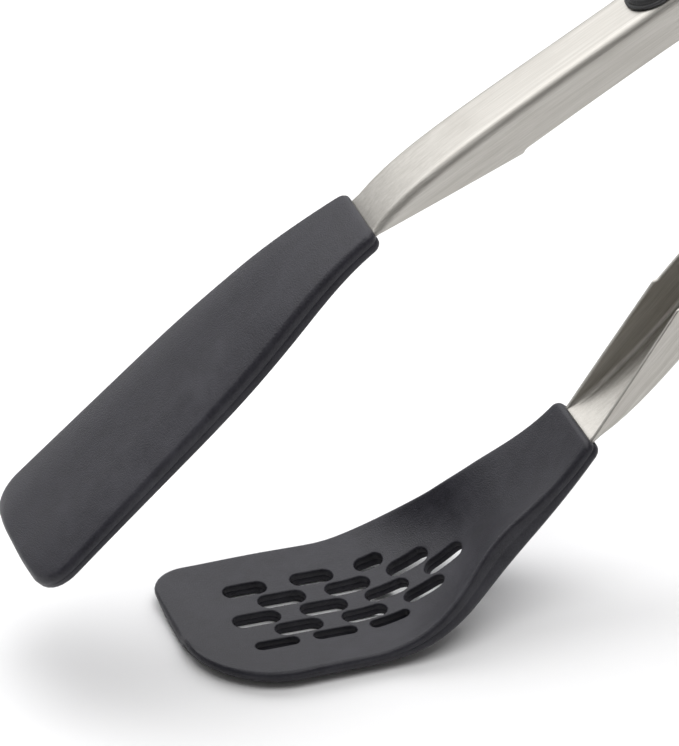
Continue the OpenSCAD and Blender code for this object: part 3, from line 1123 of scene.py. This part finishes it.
    def hook(self, frame_of: ArmFrame) -> Mesh:
        """The hook under which the lock's cross pin slides.

        Args:
            frame_of: The arm's frame of reference.

        Returns:
            The points and faces.
        """
        edge = self.layout.flange_edge + 0.0006
        near, throat, far = self.hook_at - 0.0046, self.hook_at - 0.0024, self.hook_at + 0.0024
        toe, gap = -self.hook_depth - self.hook_floor, -self.hook_depth
        outline = [(near, edge), (near, toe), (far, toe), (far, gap), (throat, gap), (throat, edge)]
        sign = -1 if self.side is Side.LOWER else 1
        middle = sign * (self.layout.ear_half(self.side) - self.layout.sheet / 2)
        thick = self.layout.sheet / 2 - 0.00003
        slab = Slab(
            outline=soften(outline[::-1] if shoelace(outline) < 0 else outline, 0.0005, 3),
            low=lambda x, y: middle - thick,
            high=lambda x, y: middle + thick,
            place=lambda x, t, y: frame_of.place(x, y, t),
            edge=0.00015,
            spacing=0.002,
            steps=2,
        )
        return slab.build()

    def build(self) -> bpy.types.Object:
        """Make the arm.

        Returns:
            The finished piece.
        """
        frame_of = self.layout.arm(self.side)
        rings = [self.ring(frame_of, a) for a in self.stations()]
        points, faces = loft(rings)
        ears = [self.ear_plate(frame_of, sign) for sign in (1, -1)]
        mesh = join((points, faces), *ears, self.hook(frame_of))
        name = f"{self.side.value}_arm"
        piece = make_piece(f"{name}_steel", mesh, self.side.value, Slot.STEEL, [name])
        shade(piece, 32, self.finish)
        return piece


def shoelace(outline: Sequence[Point]) -> float:
    """Twice the signed area of an outline, positive when it runs anticlockwise."""
    pairs = zip(outline, [*outline[1:], outline[0]])
    return sum(ax * by - bx * ay for (ax, ay), (bx, by) in pairs)


@dataclass
class Head:
    """One silicone head: a collar round the steel that widens into a thin dished blade."""

    side: Side
    layout: Layout
    finish: MouldedFinish
    path: BendPath
    length: float
    width: float
    taper: float
    flare: Point
    collar_w: float = 0.0206
    collar_t: float = 0.005
    blade_t: float = 0.0032
    slant: float = 4.0
    corner: float = 0.009
    near_corner: float = 0.009
    neck_flare: float = 0.145
    rim: float = 0.009
    collar_corner: float = 0.0022
    core_len: float = 0.026
    edge: float = 0.0013
    skin: float = 0.0006
    slots: list[list[Point]] = field(default_factory=list)

    def half_width(self, length: float, near: bool) -> float:
        """Half the blade's width at one place.

        Args:
            length: The distance from the collar.
            near: The near side rather than the far one.

        Returns:
            The half width.
        """
        q = self.length - length
        neck = self.collar_w / 2 + self.neck_flare * length
        blade = self.width / 2 - self.taper * q
        w = neck + (blade - neck) * smooth((length - self.flare[0]) / (self.flare[1] - self.flare[0]))
        r = self.near_corner if near else self.corner
        return (w - r + math.sqrt(max(0.0, r * r - (r - q) ** 2)) if q < r else w) + self.skin

    def share(self, length: float, across: float) -> float:
        """How far a point lies towards the blade's edge, from -1 to 1."""
        clamped = min(max(length, 0.0), self.length)
        return max(-1.0, min(1.0, across / self.half_width(clamped, across < 0)))

    def outer(self, length: float, across: float) -> float:
        """Height of the outer face, flat in the middle and curled up towards the edges.

        Args:
            length: The distance from the collar.
            across: The distance from the middle.

        Returns:
            The height.
        """
        if self.side is Side.LOWER:
            rise = mix(0.0005, 0.0019, (length - 0.028) / 0.018)
        else:
            rise = mix(0.0005, 0.0012, length / 0.04)
        return rise * (max(0.0, abs(self.share(length, across)) - 0.3) / 0.7) ** 2

    def inner(self, length: float, across: float) -> float:
        """Height of the inner face, dished between its rims.

        Args:
            length: The distance from the collar.
            across: The distance from the middle.

        Returns:
            The height.
        """
        if self.side is Side.LOWER:
            fall = mix(0.0, self.rim - self.blade_t - 0.0019, (length - 0.037) / 0.042)
            rim = mix(self.collar_t, self.rim, (length - 0.004) / 0.032) - fall
            rim -= mix(0.0, 0.0008, (length - 0.085) / 0.03)
            middle = mix(self.collar_t - 0.0001, self.blade_t + 0.0001, (length - self.core_len) / 0.016)
        else:
            rim = mix(self.collar_t, 0.0062, length / 0.03) - 0.0012 * smooth((length - 0.04) / 0.07)
            middle = mix(self.collar_t, self.blade_t, (length - self.core_len) / 0.03)
        return middle + (rim - middle) * self.share(length, across) ** 2

    def place(self, length: float, across: float, height: float) -> Vector:
        """The point of the part at a place on the blade.

        Args:
            length: The distance from the collar.
            across: The distance from the middle.
            height: The height above the outer face.

        Returns:
            The point.
        """
        k = self.layout
        slide = across * math.tan(math.radians(self.slant)) * smooth(length / self.length)
        along, outward, angle = self.path.at(length)
        c, s = math.cos(math.radians(angle)), math.sin(math.radians(angle))
        reach = k.arm_len + along - height * s + slide * c
        return k.arm(self.side).place(reach, across, k.pivot + k.wall + outward - height * c - slide * s)

    def outline(self) -> list[Point]:
        """The blade's flat outline, with rounded corners at the tip and the collar.

        Returns:
            The points in order.
        """
        near, far = self.flank(True), self.flank(False)
        tip_edge = [(self.length, y) for y in spread(-near[-1][1], far[-1][1], 0.0016)[1:-1]]
        collar_edge = [(0.0, y) for y in spread(far[0][1], -near[0][1], 0.0012)[1:-1]]
        loop = [(x, -y) for x, y in near] + tip_edge + far[::-1] + collar_edge
        return [(x + self.skin * (1.7 * x / self.length - 0.7), y) for x, y in loop]

    def flank(self, near: bool) -> list[Point]:
        """One long side of the outline, from the collar to the tip.

        Args:
            near: The near side rather than the far one.

        Returns:
            Points of length and half width.
        """
        r, cc = (self.near_corner if near else self.corner), self.collar_corner
        end = [cc * (1 - math.cos(math.radians(a))) for a in range(0, 90, 15)]
        run = spread(cc, self.length - r, 0.0016)
        turns = spread(0.0, 90.0, math.degrees(0.0016 / r))[1:]
        tip = [self.length - r * (1 - math.sin(math.radians(a))) for a in turns]
        side = []
        for length in end + run + tip:
            q = cc - length
            trim = cc - math.sqrt(max(0.0, cc * cc - q * q)) if q > 0 else 0.0
            side.append((length, self.half_width(length, near) - trim))
        return side

    def build(self) -> bpy.types.Object:
        """Make the head.

        Returns:
            The finished piece.
        """
        k = self.layout
        slab = Slab(
            outline=self.outline(),
            low=self.outer,
            high=self.inner,
            place=self.place,
            edge=self.edge,
            holes=self.slots,
            lip=0.0005,
            spacing=0.0015,
            seam=0.00009,
        )
        name = f"{self.side.value}_head"
        piece = make_piece(f"{name}_silicone", slab.build(), self.side.value, Slot.SILICONE, [name])
        middle = k.wall + k.sheet / 2
        half = k.neck_w / 2 + 0.0004
        low, high = Vector((-0.002, -half, middle - 0.0009)), Vector((0.0035, half, middle + 0.0009))
        carve(piece, box_mesh(low, high, self.place))
        shade(piece, 50, self.finish)
        return piece


@dataclass
class TurnerSlots:
    """The rows of drain slots through the turner blade."""

    blade_len: float = 0.116
    length: float = 0.0116
    width: float = 0.005
    pitch: float = 0.0168
    row_pitch: float = 0.0061
    first: float = 0.0187
    near_width: float = 0.0034
    near_pitch: float = 0.0144
    short_by: float = 0.003
    rows: tuple[tuple[int, tuple[float, ...]], ...] = (
        (2, (0, 1, 2)),
        (1, (0.5, 1.5, 2.5)),
        (0, (0, 1, 2, 3)),
        (-1, (0.5, 1.5, 2.5)),
        (-2, (0, 1, 2)),
    )

    def outlines(self) -> list[list[Point]]:
        """The slots as flat outlines on the blade.

        Returns:
            One outline for each slot.
        """
        made = []
        gap = self.row_pitch - self.width
        for row, columns in self.rows:
            outer, near = abs(row) == 2, row == -2
            width = self.near_width if near else self.width - (0.0004 if outer else 0.0)
            across = -self.row_pitch - self.width / 2 - gap - width / 2 if near else row * self.row_pitch
            for column in columns:
                short = self.short_by if row == 2 and column == 2 else 0.0
                length = self.length - (0.001 if outer else 0.0) - short
                inset = self.first + (0.0012 if outer else 0.0) - short / 2
                centre = self.blade_len - inset - column * (self.near_pitch if near else self.pitch)
                made.append(stadium((centre, across), (length - width) / 2, width / 2, 12, 5))
        return made


@dataclass
class Grip:
    """The soft pad on an arm, its backing plate and the posts that hold them."""

    side: Side
    layout: Layout
    pad_finish: MouldedFinish
    plate_finish: MouldedFinish
    length: float = 0.118
    thickness: float = 0.003
    plate_t: float = 0.0014
    post_r: float = 0.0016
    posts: tuple[float, ...] = (-0.036, 0.0, 0.036)
    gap: float = 0.00002

    def half_width(self) -> float:
        """Half the width of the pad."""
        return self.layout.waist_w / 2 - 0.0004

    def centre(self) -> float:
        """The grip's middle, from the hinge axis."""
        return self.layout.arm_len - 0.075 - self.length / 2

    def pad(self) -> bpy.types.Object:
        """The soft pad: a thin lip round a crowned oval.

        Returns:
            The piece.
        """
        frame_of, hw = self.layout.arm(self.side), self.half_width()
        base, run = self.layout.web() + self.gap, self.length / 2 - self.half_width()
        lip = [(0.00025, 0.0), (0.00006, 0.00008), (0.0, 0.00025), (0.0, 0.0006), (0.00008, 0.0008)]
        lip += [(0.0003, 0.0009), (0.00062, 0.0009), (0.0007, 0.00096), (0.00072, 0.0012), (0.0008, 0.00145)]
        crown = [(0.001, 0.0017), (0.0014, 0.00192), (0.002, 0.00215), (0.003, 0.00245), (0.0042, 0.00268)]
        rows = [*lip, *crown, (0.0055, 0.0028), (hw, 0.00285)]
        rings = []
        for inset, height in rows:
            ring = stadium((self.centre(), 0.0), run, max(hw - inset, 1e-7), 24, 44, clockwise=False)
            rings.append([frame_of.place(a, y, base + height * self.thickness / 0.003) for a, y in ring])
        points, faces = loft(rings)
        floor = tuple(range(len(rings[0])))
        name = f"{self.side.value}_grip_pad"
        piece = make_piece(f"{name}_soft", (points, [*faces, floor]), self.side.value, Slot.GRIP, [name])
        shade(piece, 60, self.pad_finish)
        return piece

    def plate(self) -> bpy.types.Object:
        """The stiff plate inside the channel.

        Returns:
            The piece.
        """
        frame_of, hw = self.layout.arm(self.side), self.half_width() - 0.0012
        top = self.layout.web() - self.layout.sheet - self.gap
        run = self.length / 2 - 0.007 - hw
        slab = Slab(
            outline=stadium((self.centre(), 0.0), run, hw, 16, 40, clockwise=False),
            low=lambda x, y: top - self.plate_t,
            high=lambda x, y: top,
            place=frame_of.place,
            edge=0.0003,
            spacing=0.0035,
            steps=3,
        )
        name = f"{self.side.value}_grip_plate"
        piece = make_piece(f"{name}_nylon", slab.build(), self.side.value, Slot.NYLON, [name])
        shade(piece, 50, self.plate_finish)
        return piece

    def post_set(self) -> bpy.types.Object:
        """The moulded posts, whose heads show inside the channel.

        Returns:
            The piece.
        """
        frame_of, r = self.layout.arm(self.side), self.post_r
        low = self.layout.web() - self.layout.sheet - self.plate_t - self.gap
        high = self.layout.web() + 0.0016
        profile = [(0.0, low - 0.0008), (0.0014, low - 0.00076), (0.0021, low - 0.00062)]
        profile += [(0.0025, low - 0.0004), (0.0026, low - 0.00015), (0.0026, low), (r, low)]
        profile += [(r, high - 0.0002), (r - 0.0002, high), (0.0, high)]
        meshes = []
        for x in self.posts:
            middle = self.centre() + x
            meshes.append(lathe(profile, lambda p, q, h, m=middle: frame_of.place(m + p, q, h), 32))
        name = f"{self.side.value}_grip_posts"
        piece = make_piece(f"{name}_nylon", join(*meshes), self.side.value, Slot.NYLON, [name])
        shade(piece, 40, self.plate_finish)
        return piece

    def build(self) -> None:
        """Make the pad, plate and posts."""
        self.pad()
        self.plate()
        self.post_set()


@dataclass
class Hinge:
    """The pin, its washers and its push-on retainer."""

    layout: Layout
    finish: SteelFinish
    pin_r: float = 0.002
    head_r: float = 0.0036
    washer_r: float = 0.0044
    washer_t: float = 0.0006

    def place(self, x: float, z: float, y: float) -> Vector:
        """A point round the hinge axis."""
        middle = self.layout.hinge
        return Vector((middle.x + x, y, middle.z + z))

    def washer_y(self) -> float:
        """The inner face of the far washer."""
        return self.layout.hinge_w / 2 + 0.0003

    def turned(self, name: str, node: str, profiles: Sequence[Sequence[Point]]) -> None:
        """Make one turned piece.

        Args:
            name: The piece's name.
            node: The CAD node it replaces.
            profiles: One closed profile for each solid.
        """
        mesh = join(*[lathe(p, self.place, 72) for p in profiles])
        piece = make_piece(name, mesh, Side.LOWER.value, Slot.PIN, [node])
        shade(piece, 35, self.finish)

    def build(self) -> None:
        """Make the pin, the washers and the retainer."""
        w, r, hr = self.washer_y(), self.pin_r, self.head_r
        dome = [(0.0, -w - 0.0018), (0.0012, -w - 0.00177), (0.0022, -w - 0.00165), (0.003, -w - 0.00142)]
        dome += [(hr - 0.00015, -w - 0.0011), (hr, -w - 0.0009), (hr, -w - 0.0007)]
        dome += [(hr - 0.00008, -w - 0.00062)]
        shank = [(r, -w - 0.00062), (r, w + 0.0018), (r - 0.0004, w + 0.0022), (r - 0.0009, w + 0.0022)]
        shank += [(0.0, w + 0.00205)]
        self.turned("hinge_pin_steel", "hinge_pin", [dome + shank])
        inner, outer, t = r + 0.00002, self.washer_r, self.washer_t
        rings = []
        for y in (-w - t, w):
            ring = [(inner, y), (outer, y), (outer, y + t), (inner, y + t)]
            rings.append(soften(ring, 0.00012, 3))
        self.turned("hinge_washers_steel", "hinge_washers", rings)
        low, high = w + 0.00062, w + 0.0016
        cap = [(inner, low), (0.0034, low), (0.0034, low + 0.00035), (0.0029, low + 0.00045)]
        cap += [(0.0025, high - 0.0002), (inner, high)]
        self.turned("pin_retainer_steel", "pin_retainer", [soften(cap, 0.00012, 3)])


@dataclass
class Spring:
    """The wire spring: a leg on each side of the lower arm, two coils and a bridge under the upper web."""

    layout: Layout
    finish: SteelFinish
    wire: float = 0.0014
    coil_r: float = 0.00445
    bar_t: float = 0.002
    leg: float = 0.028
    turns: int = 2

    def inner_y(self) -> float:
        """Where the coil starts, next to the lock bar."""
        return self.bar_t / 2 + 0.0007 + self.wire / 2

    def outer_y(self) -> float:
        """Where the coil ends, next to the arm's ear."""
        turned = self.turns + (180 - self.layout.open_angle) / 360
        return self.inner_y() + (self.wire + 0.00015) * turned

    def line(self, sign: int) -> list[Vector]:
        """The wire's centre line on one side, from the lower leg to the middle of the bridge.

        Args:
            sign: +1 for the far side and -1 for the near one.

        Returns:
            The points in order.
        """
        k = self.layout
        lower, upper = k.arm(Side.LOWER), k.arm(Side.UPPER)
        rest = k.web() - k.sheet - self.wire / 2 - 0.0001
        inner, outer = self.inner_y(), self.outer_y()
        points = []
        for a in (self.leg, 0.0225, 0.018, 0.0135, 0.009, 0.0045):
            t = self.coil_r + (rest - self.coil_r) * a / self.leg
            points.append(lower.place(a, sign * outer, t))
        middle, sweep = k.hinge, 180 - k.open_angle + 360 * self.turns
        for i in range(97):
            f = i / 96
            a = math.radians(k.lower_slope - 90 + f * sweep)
            y = sign * (outer + (inner - outer) * f)
            ring_x, ring_z = self.coil_r * math.cos(a), self.coil_r * math.sin(a)
            points.append(Vector((middle.x + ring_x, y, middle.z + ring_z)))
        for a in (0.0045, 0.009, 0.0135, 0.018, 0.0225, self.leg - 0.001):
            t = self.coil_r + (rest - self.coil_r) * a / self.leg
            points.append(upper.place(a, sign * inner, t))
        for f in (0.2, 0.45, 0.75, 1.0):
            x = self.leg - 0.001 + 0.003 * math.sin(math.radians(90 * min(1.0, f * 1.6)))
            points.append(upper.place(x, sign * inner * (1 - f**2), rest))
        return points

    def tube(self, line: Sequence[Vector]) -> Mesh:
        """A round tube along a line, with its frame carried from ring to ring.

        Args:
            line: The centre line.

        Returns:
            The points and faces.
        """
        rings, up = [], Vector((0.31, 0.17, 0.94))
        for i, p in enumerate(line):
            way = (line[min(i + 1, len(line) - 1)] - line[max(i - 1, 0)]).normalized()
            up = (up - way * up.dot(way)).normalized()
            side = way.cross(up)
            scales = (0.55, 1.0) if i == 0 else (1.0,)
            for scale in scales:
                back = way * (self.wire * 0.2 if scale == 1.0 and i == 0 else 0.0)
                turn = [2 * math.pi * k / 16 for k in range(16)]
                r = self.wire / 2 * scale
                rings.append([p + back + (side * math.cos(a) + up * math.sin(a)) * r for a in turn])
        points, faces = loft(rings)
        return points, [*faces, tuple(range(16)), tuple(range(len(points) - 16, len(points)))]

    def build(self) -> None:
        """Make the two halves, each bending from the lower arm to the upper one along its coil."""
        for sign, name in ((-1, "near"), (1, "far")):
            mesh = self.tube(self.line(sign))
            piece = make_piece(f"spring_{name}_half", mesh, "", Slot.SPRING, ["torsion_spring"])
            piece.data.materials.append(self.finish.material())
            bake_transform(piece)


@dataclass
class Lock:
    """The pull lock: two guides on the hinge pin, the bar, its cross pin and the pull tab."""

    layout: Layout
    bar_finish: SteelFinish
    pin_finish: SteelFinish
    guide_finish: MouldedFinish
    tab_finish: MouldedFinish
    bar_t: float = 0.002
    travel: float = 0.0065
    block_l: float = 0.008
    block_h: float = 0.003
    drum_r: float = 0.00345
    pin_r: float = 0.002
    cross_r: float = 0.00125
    cross_at: float = 0.066
    loop_at: float = 0.034
    loop_r: float = 0.005

    def guides(self) -> None:
        """The two guides, each a drum round the hinge pin with half of the block that the bar slides on."""
        where, bore = self.layout.middle(), self.pin_r + self.layout.running_gap
        outside = self.layout.ear_half(Side.LOWER) - self.layout.sheet - 0.0004
        gap = self.bar_t / 2 + 0.0003
        for sign, node in ((-1, "lock_guide_near"), (1, "lock_guide_far")):
            ring = [(bore, gap), (self.drum_r, gap), (self.drum_r, outside), (bore, outside)]
            ring = [(r, sign * y) for r, y in ring]
            drum = lathe(soften(ring, 0.00025, 3), where.place, 56)
            corners = [(-self.block_l / 2, -self.block_h), (self.block_l / 2, -self.block_h)]
            corners += [(self.block_l / 2, self.block_h), (-self.block_l / 2, self.block_h)]
            low, high = sorted((sign * 0.00002, sign * (gap + 0.00001)))
            block = Slab(
                outline=soften(corners, 0.0004, 3),
                low=lambda x, y, v=low: v,
                high=lambda x, y, v=high: v,
                place=where.place,
                edge=0.0001,
                lip=0.0001,
                holes=[circle((0.0, 0.0), bore, 40)],
                spacing=0.0012,
                steps=2,
            )
            piece = make_piece(f"{node}_nylon", join(drum, block.build()), "guide", Slot.NYLON, [node])
            shade(piece, 40, self.guide_finish)

    def bar(self) -> None:
        """The flat bar, with its slot for the guides and its hole for the cross pin."""
        end = self.cross_at + 0.004
        thin, deep, tail = 0.0026, 0.0056, 0.0034
        top = [(-end, thin), (-0.024, thin), (-0.017, deep), (0.008, deep), (0.013, tail), (0.026, tail)]
        outline = [(x, -z) for x, z in top] + top[::-1]
        half = self.block_h + self.layout.running_gap
        back = -self.block_l / 2 - self.layout.running_gap - self.travel
        front = self.block_l / 2 + self.layout.running_gap
        window = soften([(back, -half), (back, half), (front, half), (front, -half)], 0.0003, 2)
        slab = Slab(
            outline=soften(outline, 0.0014, 4),
            low=lambda x, y: -self.bar_t / 2,
            high=lambda x, y: self.bar_t / 2,
            place=self.layout.middle().place,
            edge=0.0003,
            lip=0.00015,
            holes=[window, circle((-self.cross_at, 0.0), self.cross_r + 0.00002, 28)],
            spacing=0.002,
            steps=3,
        )
        piece = make_piece("lock_bar_steel", slab.build(), "lock", Slot.BAR, ["lock_bar"])
        shade(piece, 40, self.bar_finish)

    def cross_pin(self) -> None:
        """The pin through the end of the bar."""
        where, half, r = self.layout.middle(), self.layout.hinge_w / 2 - 0.0001, self.cross_r
        bevel = 0.0003
        profile = [(0.0, -half), (r - bevel, -half), (r, bevel - half), (r, half - bevel), (r - bevel, half)]
        profile += [(0.0, half)]
        mesh = lathe(profile, lambda p, q, y: where.place(p - self.cross_at, q, y), 40)
        piece = make_piece("lock_cross_pin_steel", mesh, "lock", Slot.PIN, ["lock_cross_pin"])
        shade(piece, 35, self.pin_finish)

    def groove(self, x: float, z: float) -> float:
        """Depth of the shallow ring pressed round the tab's hole."""
        return 0.0003 * smooth(1 - abs(math.hypot(x - self.loop_at, z) - 0.0075) / 0.0016)

    def tab(self) -> None:
        """The soft pull tab with its hanging hole."""
        outer, half, start = self.loop_r + 0.005, 0.006, 0.014
        joint = math.degrees(math.asin(half / outer))
        arc = [math.radians(a) for a in spread(-180 + joint + 6, 180 - joint - 6, 6)]
        ring = [(self.loop_at + outer * math.cos(a), outer * math.sin(a)) for a in arc]
        neck = [(start + 0.0078, half), (start + 0.0018, half), (start + 0.0005, half - 0.0005)]
        neck += [(start, half - 0.0018)]
        outline = ring + neck + [(x, -z) for x, z in reversed(neck)]
        slab = Slab(
            outline=outline,
            low=lambda x, z: self.groove(x, z) - 0.004,
            high=lambda x, z: 0.004 - self.groove(x, z),
            place=self.layout.middle().place,
            edge=0.0014,
            lip=0.0009,
            holes=[circle((self.loop_at, 0.0), self.loop_r, 56)],
            spacing=0.001,
        )
        piece = make_piece("pull_tab_soft", slab.build(), "lock", Slot.GRIP, ["pull_tab"])
        shade(piece, 55, self.tab_finish)

    def build(self) -> None:
        """Make the guides, the bar, the cross pin and the tab."""
        self.guides()
        self.bar()
        self.cross_pin()
        self.tab()


def shade(piece: bpy.types.Object, angle: float, finish: MouldedFinish | SteelFinish) -> None:
    """Keep a piece's sharp edges sharp and give it its finish.

    Args:
        piece: The piece.
        angle: The turn in degrees above which an edge is sharp.
        finish: The piece's finish.
    """
    crease(piece, angle)
    piece.data.materials.append(finish.material())


def dress(nodes: Sequence[str], finish: MouldedFinish | SteelFinish) -> None:
    """Give CAD nodes that keep their own shape a finish.

    Args:
        nodes: The nodes' names.
        finish: Their finish.
    """
    material = finish.material()
    for name in nodes:
        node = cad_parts[name]
        if node.material_slots:
            node.material_slots[0].material = material
        else:
            node.data.materials.append(material)
        log.info("%s: keeps its CAD shape", name)


# ---- studio ----


@dataclass(frozen=True)
class Softbox:
    """One square soft light."""

    name: str
    at: Colour
    target: Colour
    size: float
    power: float
    colour: Colour = (1.0, 1.0, 1.0)

    def build(self) -> None:
        """Hang the light."""
        lamp = bpy.data.lights.new(self.name, "AREA")
        lamp.shape = "SQUARE"
        lamp.size = self.size
        lamp.energy = self.power
        lamp.color = self.colour
        holder = bpy.data.objects.new(self.name, lamp)
        holder.location = self.at
        holder.rotation_euler = (Vector(self.target) - Vector(self.at)).to_track_quat("-Z", "Y").to_euler()
        bpy.context.scene.collection.objects.link(holder)


@dataclass
class Studio:
    """The pale floor, the soft light and the camera."""

    floor_size: float = 12.0
    sky: float = 0.58
    bright_way: Colour = (0.08, 0.8, 0.59)
    dim: Colour = (0.33, 0.325, 0.32)
    bright: Colour = (3.7, 3.7, 3.74)
    horizon: float = 0.06
    backdrop: Colour = (0.93, 0.93, 0.935)
    lights: tuple[Softbox, ...] = (
        Softbox("key_light", (-0.7, 0.7, 1.5), (0.05, 0.0, 0.08), 1.3, 6.0),
        Softbox("top_light", (0.2, -0.2, 1.8), (0.05, 0.0, 0.08), 1.5, 21.0),
    )
    camera_at: Colour = (-0.1625, -0.5681, 0.4173)
    ahead: Colour = (0.2502, 0.8245, -0.5076)
    right: Colour = (0.9556, -0.2947, -0.0075)
    lens: float = 144.8

    def floor(self) -> None:
        """A wide pale floor with the faintest unevenness."""
        mesh = bpy.data.meshes.new("floor")
        half, count = self.floor_size / 2, 8
        xs = spread(-half, half, self.floor_size / count)
        points = [(x, y, 0.0) for y in xs for x in xs]
        row = count + 1
        corners = [j * row + i for j in range(count) for i in range(count)]
        faces = [(c, c + 1, c + row + 1, c + row) for c in corners]
        mesh.from_pydata(points, [], faces)
        material = bpy.data.materials.new("pale_floor")
        material.use_nodes = True
        sheet = NodeSheet(material.node_tree)
        shader = sheet.add("ShaderNodeBsdfPrincipled")
        sheet.add("ShaderNodeOutputMaterial", {"Surface": shader.outputs[0]})
        where = sheet.add("ShaderNodeTexCoord").outputs["Object"]
        cloud = sheet.noise(where, 6.0, 3.0, 0.5)
        colour = sheet.blend(cloud, (0.89, 0.89, 0.895, 1), (0.91, 0.91, 0.91, 1))
        sheet.tree.links.new(colour, shader.inputs["Base Color"])
        shader.inputs["Roughness"].default_value = 0.9
        shader.inputs["Specular IOR Level"].default_value = 0.1
        mesh.materials.append(material)
        floor = bpy.data.objects.new("floor", mesh)
        bpy.context.scene.collection.objects.link(floor)

    def world(self) -> None:
        """A soft surround, bright behind and above the part and dim elsewhere, with a plain pale backdrop."""
        world = bpy.data.worlds.new("studio")
        world.use_nodes = True
        sheet = NodeSheet(world.node_tree)
        way = sheet.add("ShaderNodeTexCoord").outputs["Generated"]
        height = sheet.add("ShaderNodeSeparateXYZ", {0: way}).outputs["Z"]
        towards = sheet.add("ShaderNodeVectorMath", {0: way, 1: self.bright_way}, operation="DOT_PRODUCT")
        side = sheet.ease(towards.outputs["Value"], 0.4, 0.97)
        rise = sheet.ramp(height, 0.02, 0.2, self.horizon, 0.45)
        upper = sheet.ramp(height, 0.36, 0.56, 0.0, 0.6)
        share = sheet.sums("MULTIPLY", side, sheet.sums("ADD", rise, upper))
        colour = sheet.blend(share, (*self.dim, 1), (*self.bright, 1))
        light = sheet.add("ShaderNodeBackground", {"Color": colour, "Strength": self.sky})
        seen = sheet.add("ShaderNodeBackground", {"Color": (*self.backdrop, 1), "Strength": 1.0})
        direct = sheet.add("ShaderNodeLightPath").outputs["Is Camera Ray"]
        both = sheet.add("ShaderNodeMixShader", {0: direct, 1: light.outputs[0], 2: seen.outputs[0]})
        sheet.add("ShaderNodeOutputWorld", {"Surface": both.outputs[0]})
        bpy.context.scene.world = world

    def camera(self) -> None:
        """A long lens from the near left, looking down at the heads."""
        data = bpy.data.cameras.new("camera")
        data.sensor_width = 36.0
        data.lens = self.lens
        data.clip_start, data.clip_end = 0.01, 50.0
        holder = bpy.data.objects.new("camera", data)
        back = -Vector(self.ahead).normalized()
        right = Vector(self.right)
        right = (right - back * right.dot(back)).normalized()
        up = back.cross(right)
        turn = Matrix((right, up, back)).transposed()
        holder.matrix_world = Matrix.Translation(self.camera_at) @ turn.to_4x4()
        bpy.context.scene.collection.objects.link(holder)
        bpy.context.scene.camera = holder

    def build(self) -> None:
        """Set up the studio."""
        self.floor()
        self.world()
        for light in self.lights:
            light.build()
        self.camera()
        view = bpy.context.scene.view_settings
        view.view_transform = "Standard"
        view.look = "None"


def main() -> None:
    """Build every sub-assembly in order."""
    logging.basicConfig(level=logging.INFO, format="%(name)s: %(message)s")
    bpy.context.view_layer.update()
    layout = Layout()
    silicone = MouldedFinish(
        "charcoal_silicone", dark=(0.0145, 0.014, 0.0192), light=(0.0245, 0.0238, 0.0312),
        worn_dusty_and_highlit=(0.06, 0.059, 0.07), rough=(0.34, 0.46), specular=0.27,
    )
    soft = MouldedFinish(
        "black_soft_grip", dark=(0.008, 0.008, 0.009), light=(0.014, 0.014, 0.015),
        worn_dusty_and_highlit=(0.04, 0.04, 0.045), rough=(0.4, 0.58), wear_and_highlight=0.4,
    )
    nylon = MouldedFinish(
        "dark_nylon", dark=(0.018, 0.018, 0.019), light=(0.028, 0.028, 0.029),
        worn_dusty_and_highlit=(0.06, 0.06, 0.06), rough=(0.38, 0.52),
    )
    pin = SteelFinish("turned_steel", (0.5, 0.49, 0.48), (0.68, 0.67, 0.66), 0.0, (0.22, 0.34), 4200.0, 1.0)
    wire = SteelFinish("spring_wire", (0.42, 0.41, 0.4), (0.6, 0.59, 0.58), 0.0, (0.24, 0.36), 3600.0, 0.3)
    flat = SteelFinish("brushed_bar", (0.46, 0.45, 0.44), (0.64, 0.63, 0.61), -40.0, (0.28, 0.4))
    shut_by, pin_reach, pin_r = 7.8, 0.0595, 0.0016
    held = layout.open_angle - shut_by
    hook = pin_reach * math.sin(math.radians(held / 2)) + pin_r
    for side in Side:
        name, slope = f"brushed_steel_{side.value}", layout.arm(side).slope
        steel = SteelFinish(name, (0.4, 0.382, 0.352), (0.54, 0.525, 0.492), slope, (0.42, 0.58))
        Arm(side, layout, steel, hook_depth=hook).build()
    turner_len, spatula_len = 0.116, 0.1095
    collar_run, flat_run, neck_bend, neck_r = 0.023, 0.04, 42.5, 0.05
    neck = math.radians(neck_bend) * neck_r
    straight = turner_len - collar_run - neck - flat_run
    turner = BendPath(((collar_run, 7.0), (straight, 0.0), (neck, neck_bend), (flat_run, 0.0)))
    spatula = BendPath(((0.03, 11.7), (spatula_len - 0.03, 0.4)))
    heads = (
        Head(
            Side.LOWER, layout, silicone, turner, length=turner_len, width=0.0506, taper=0.015,
            flare=(0.028, 0.068), near_corner=0.022, slots=TurnerSlots().outlines(),
        ),
        Head(
            Side.UPPER, layout, silicone, spatula, length=spatula_len, width=0.045, taper=0.055,
            flare=(0.006, 0.062),
        ),
    )
    for head in heads:
        head.build()
    for side in Side:
        Grip(side, layout, soft, nylon).build()
    Hinge(layout, pin).build()
    Spring(layout, wire).build()
    Lock(layout, flat, pin, nylon, soft).build()
    dress(["lower_head_core", "upper_head_core"], nylon)
    dress(["lower_tang_rivets", "upper_tang_rivets"], pin)
    Studio().build()


if __name__ == "__main__":
    main()
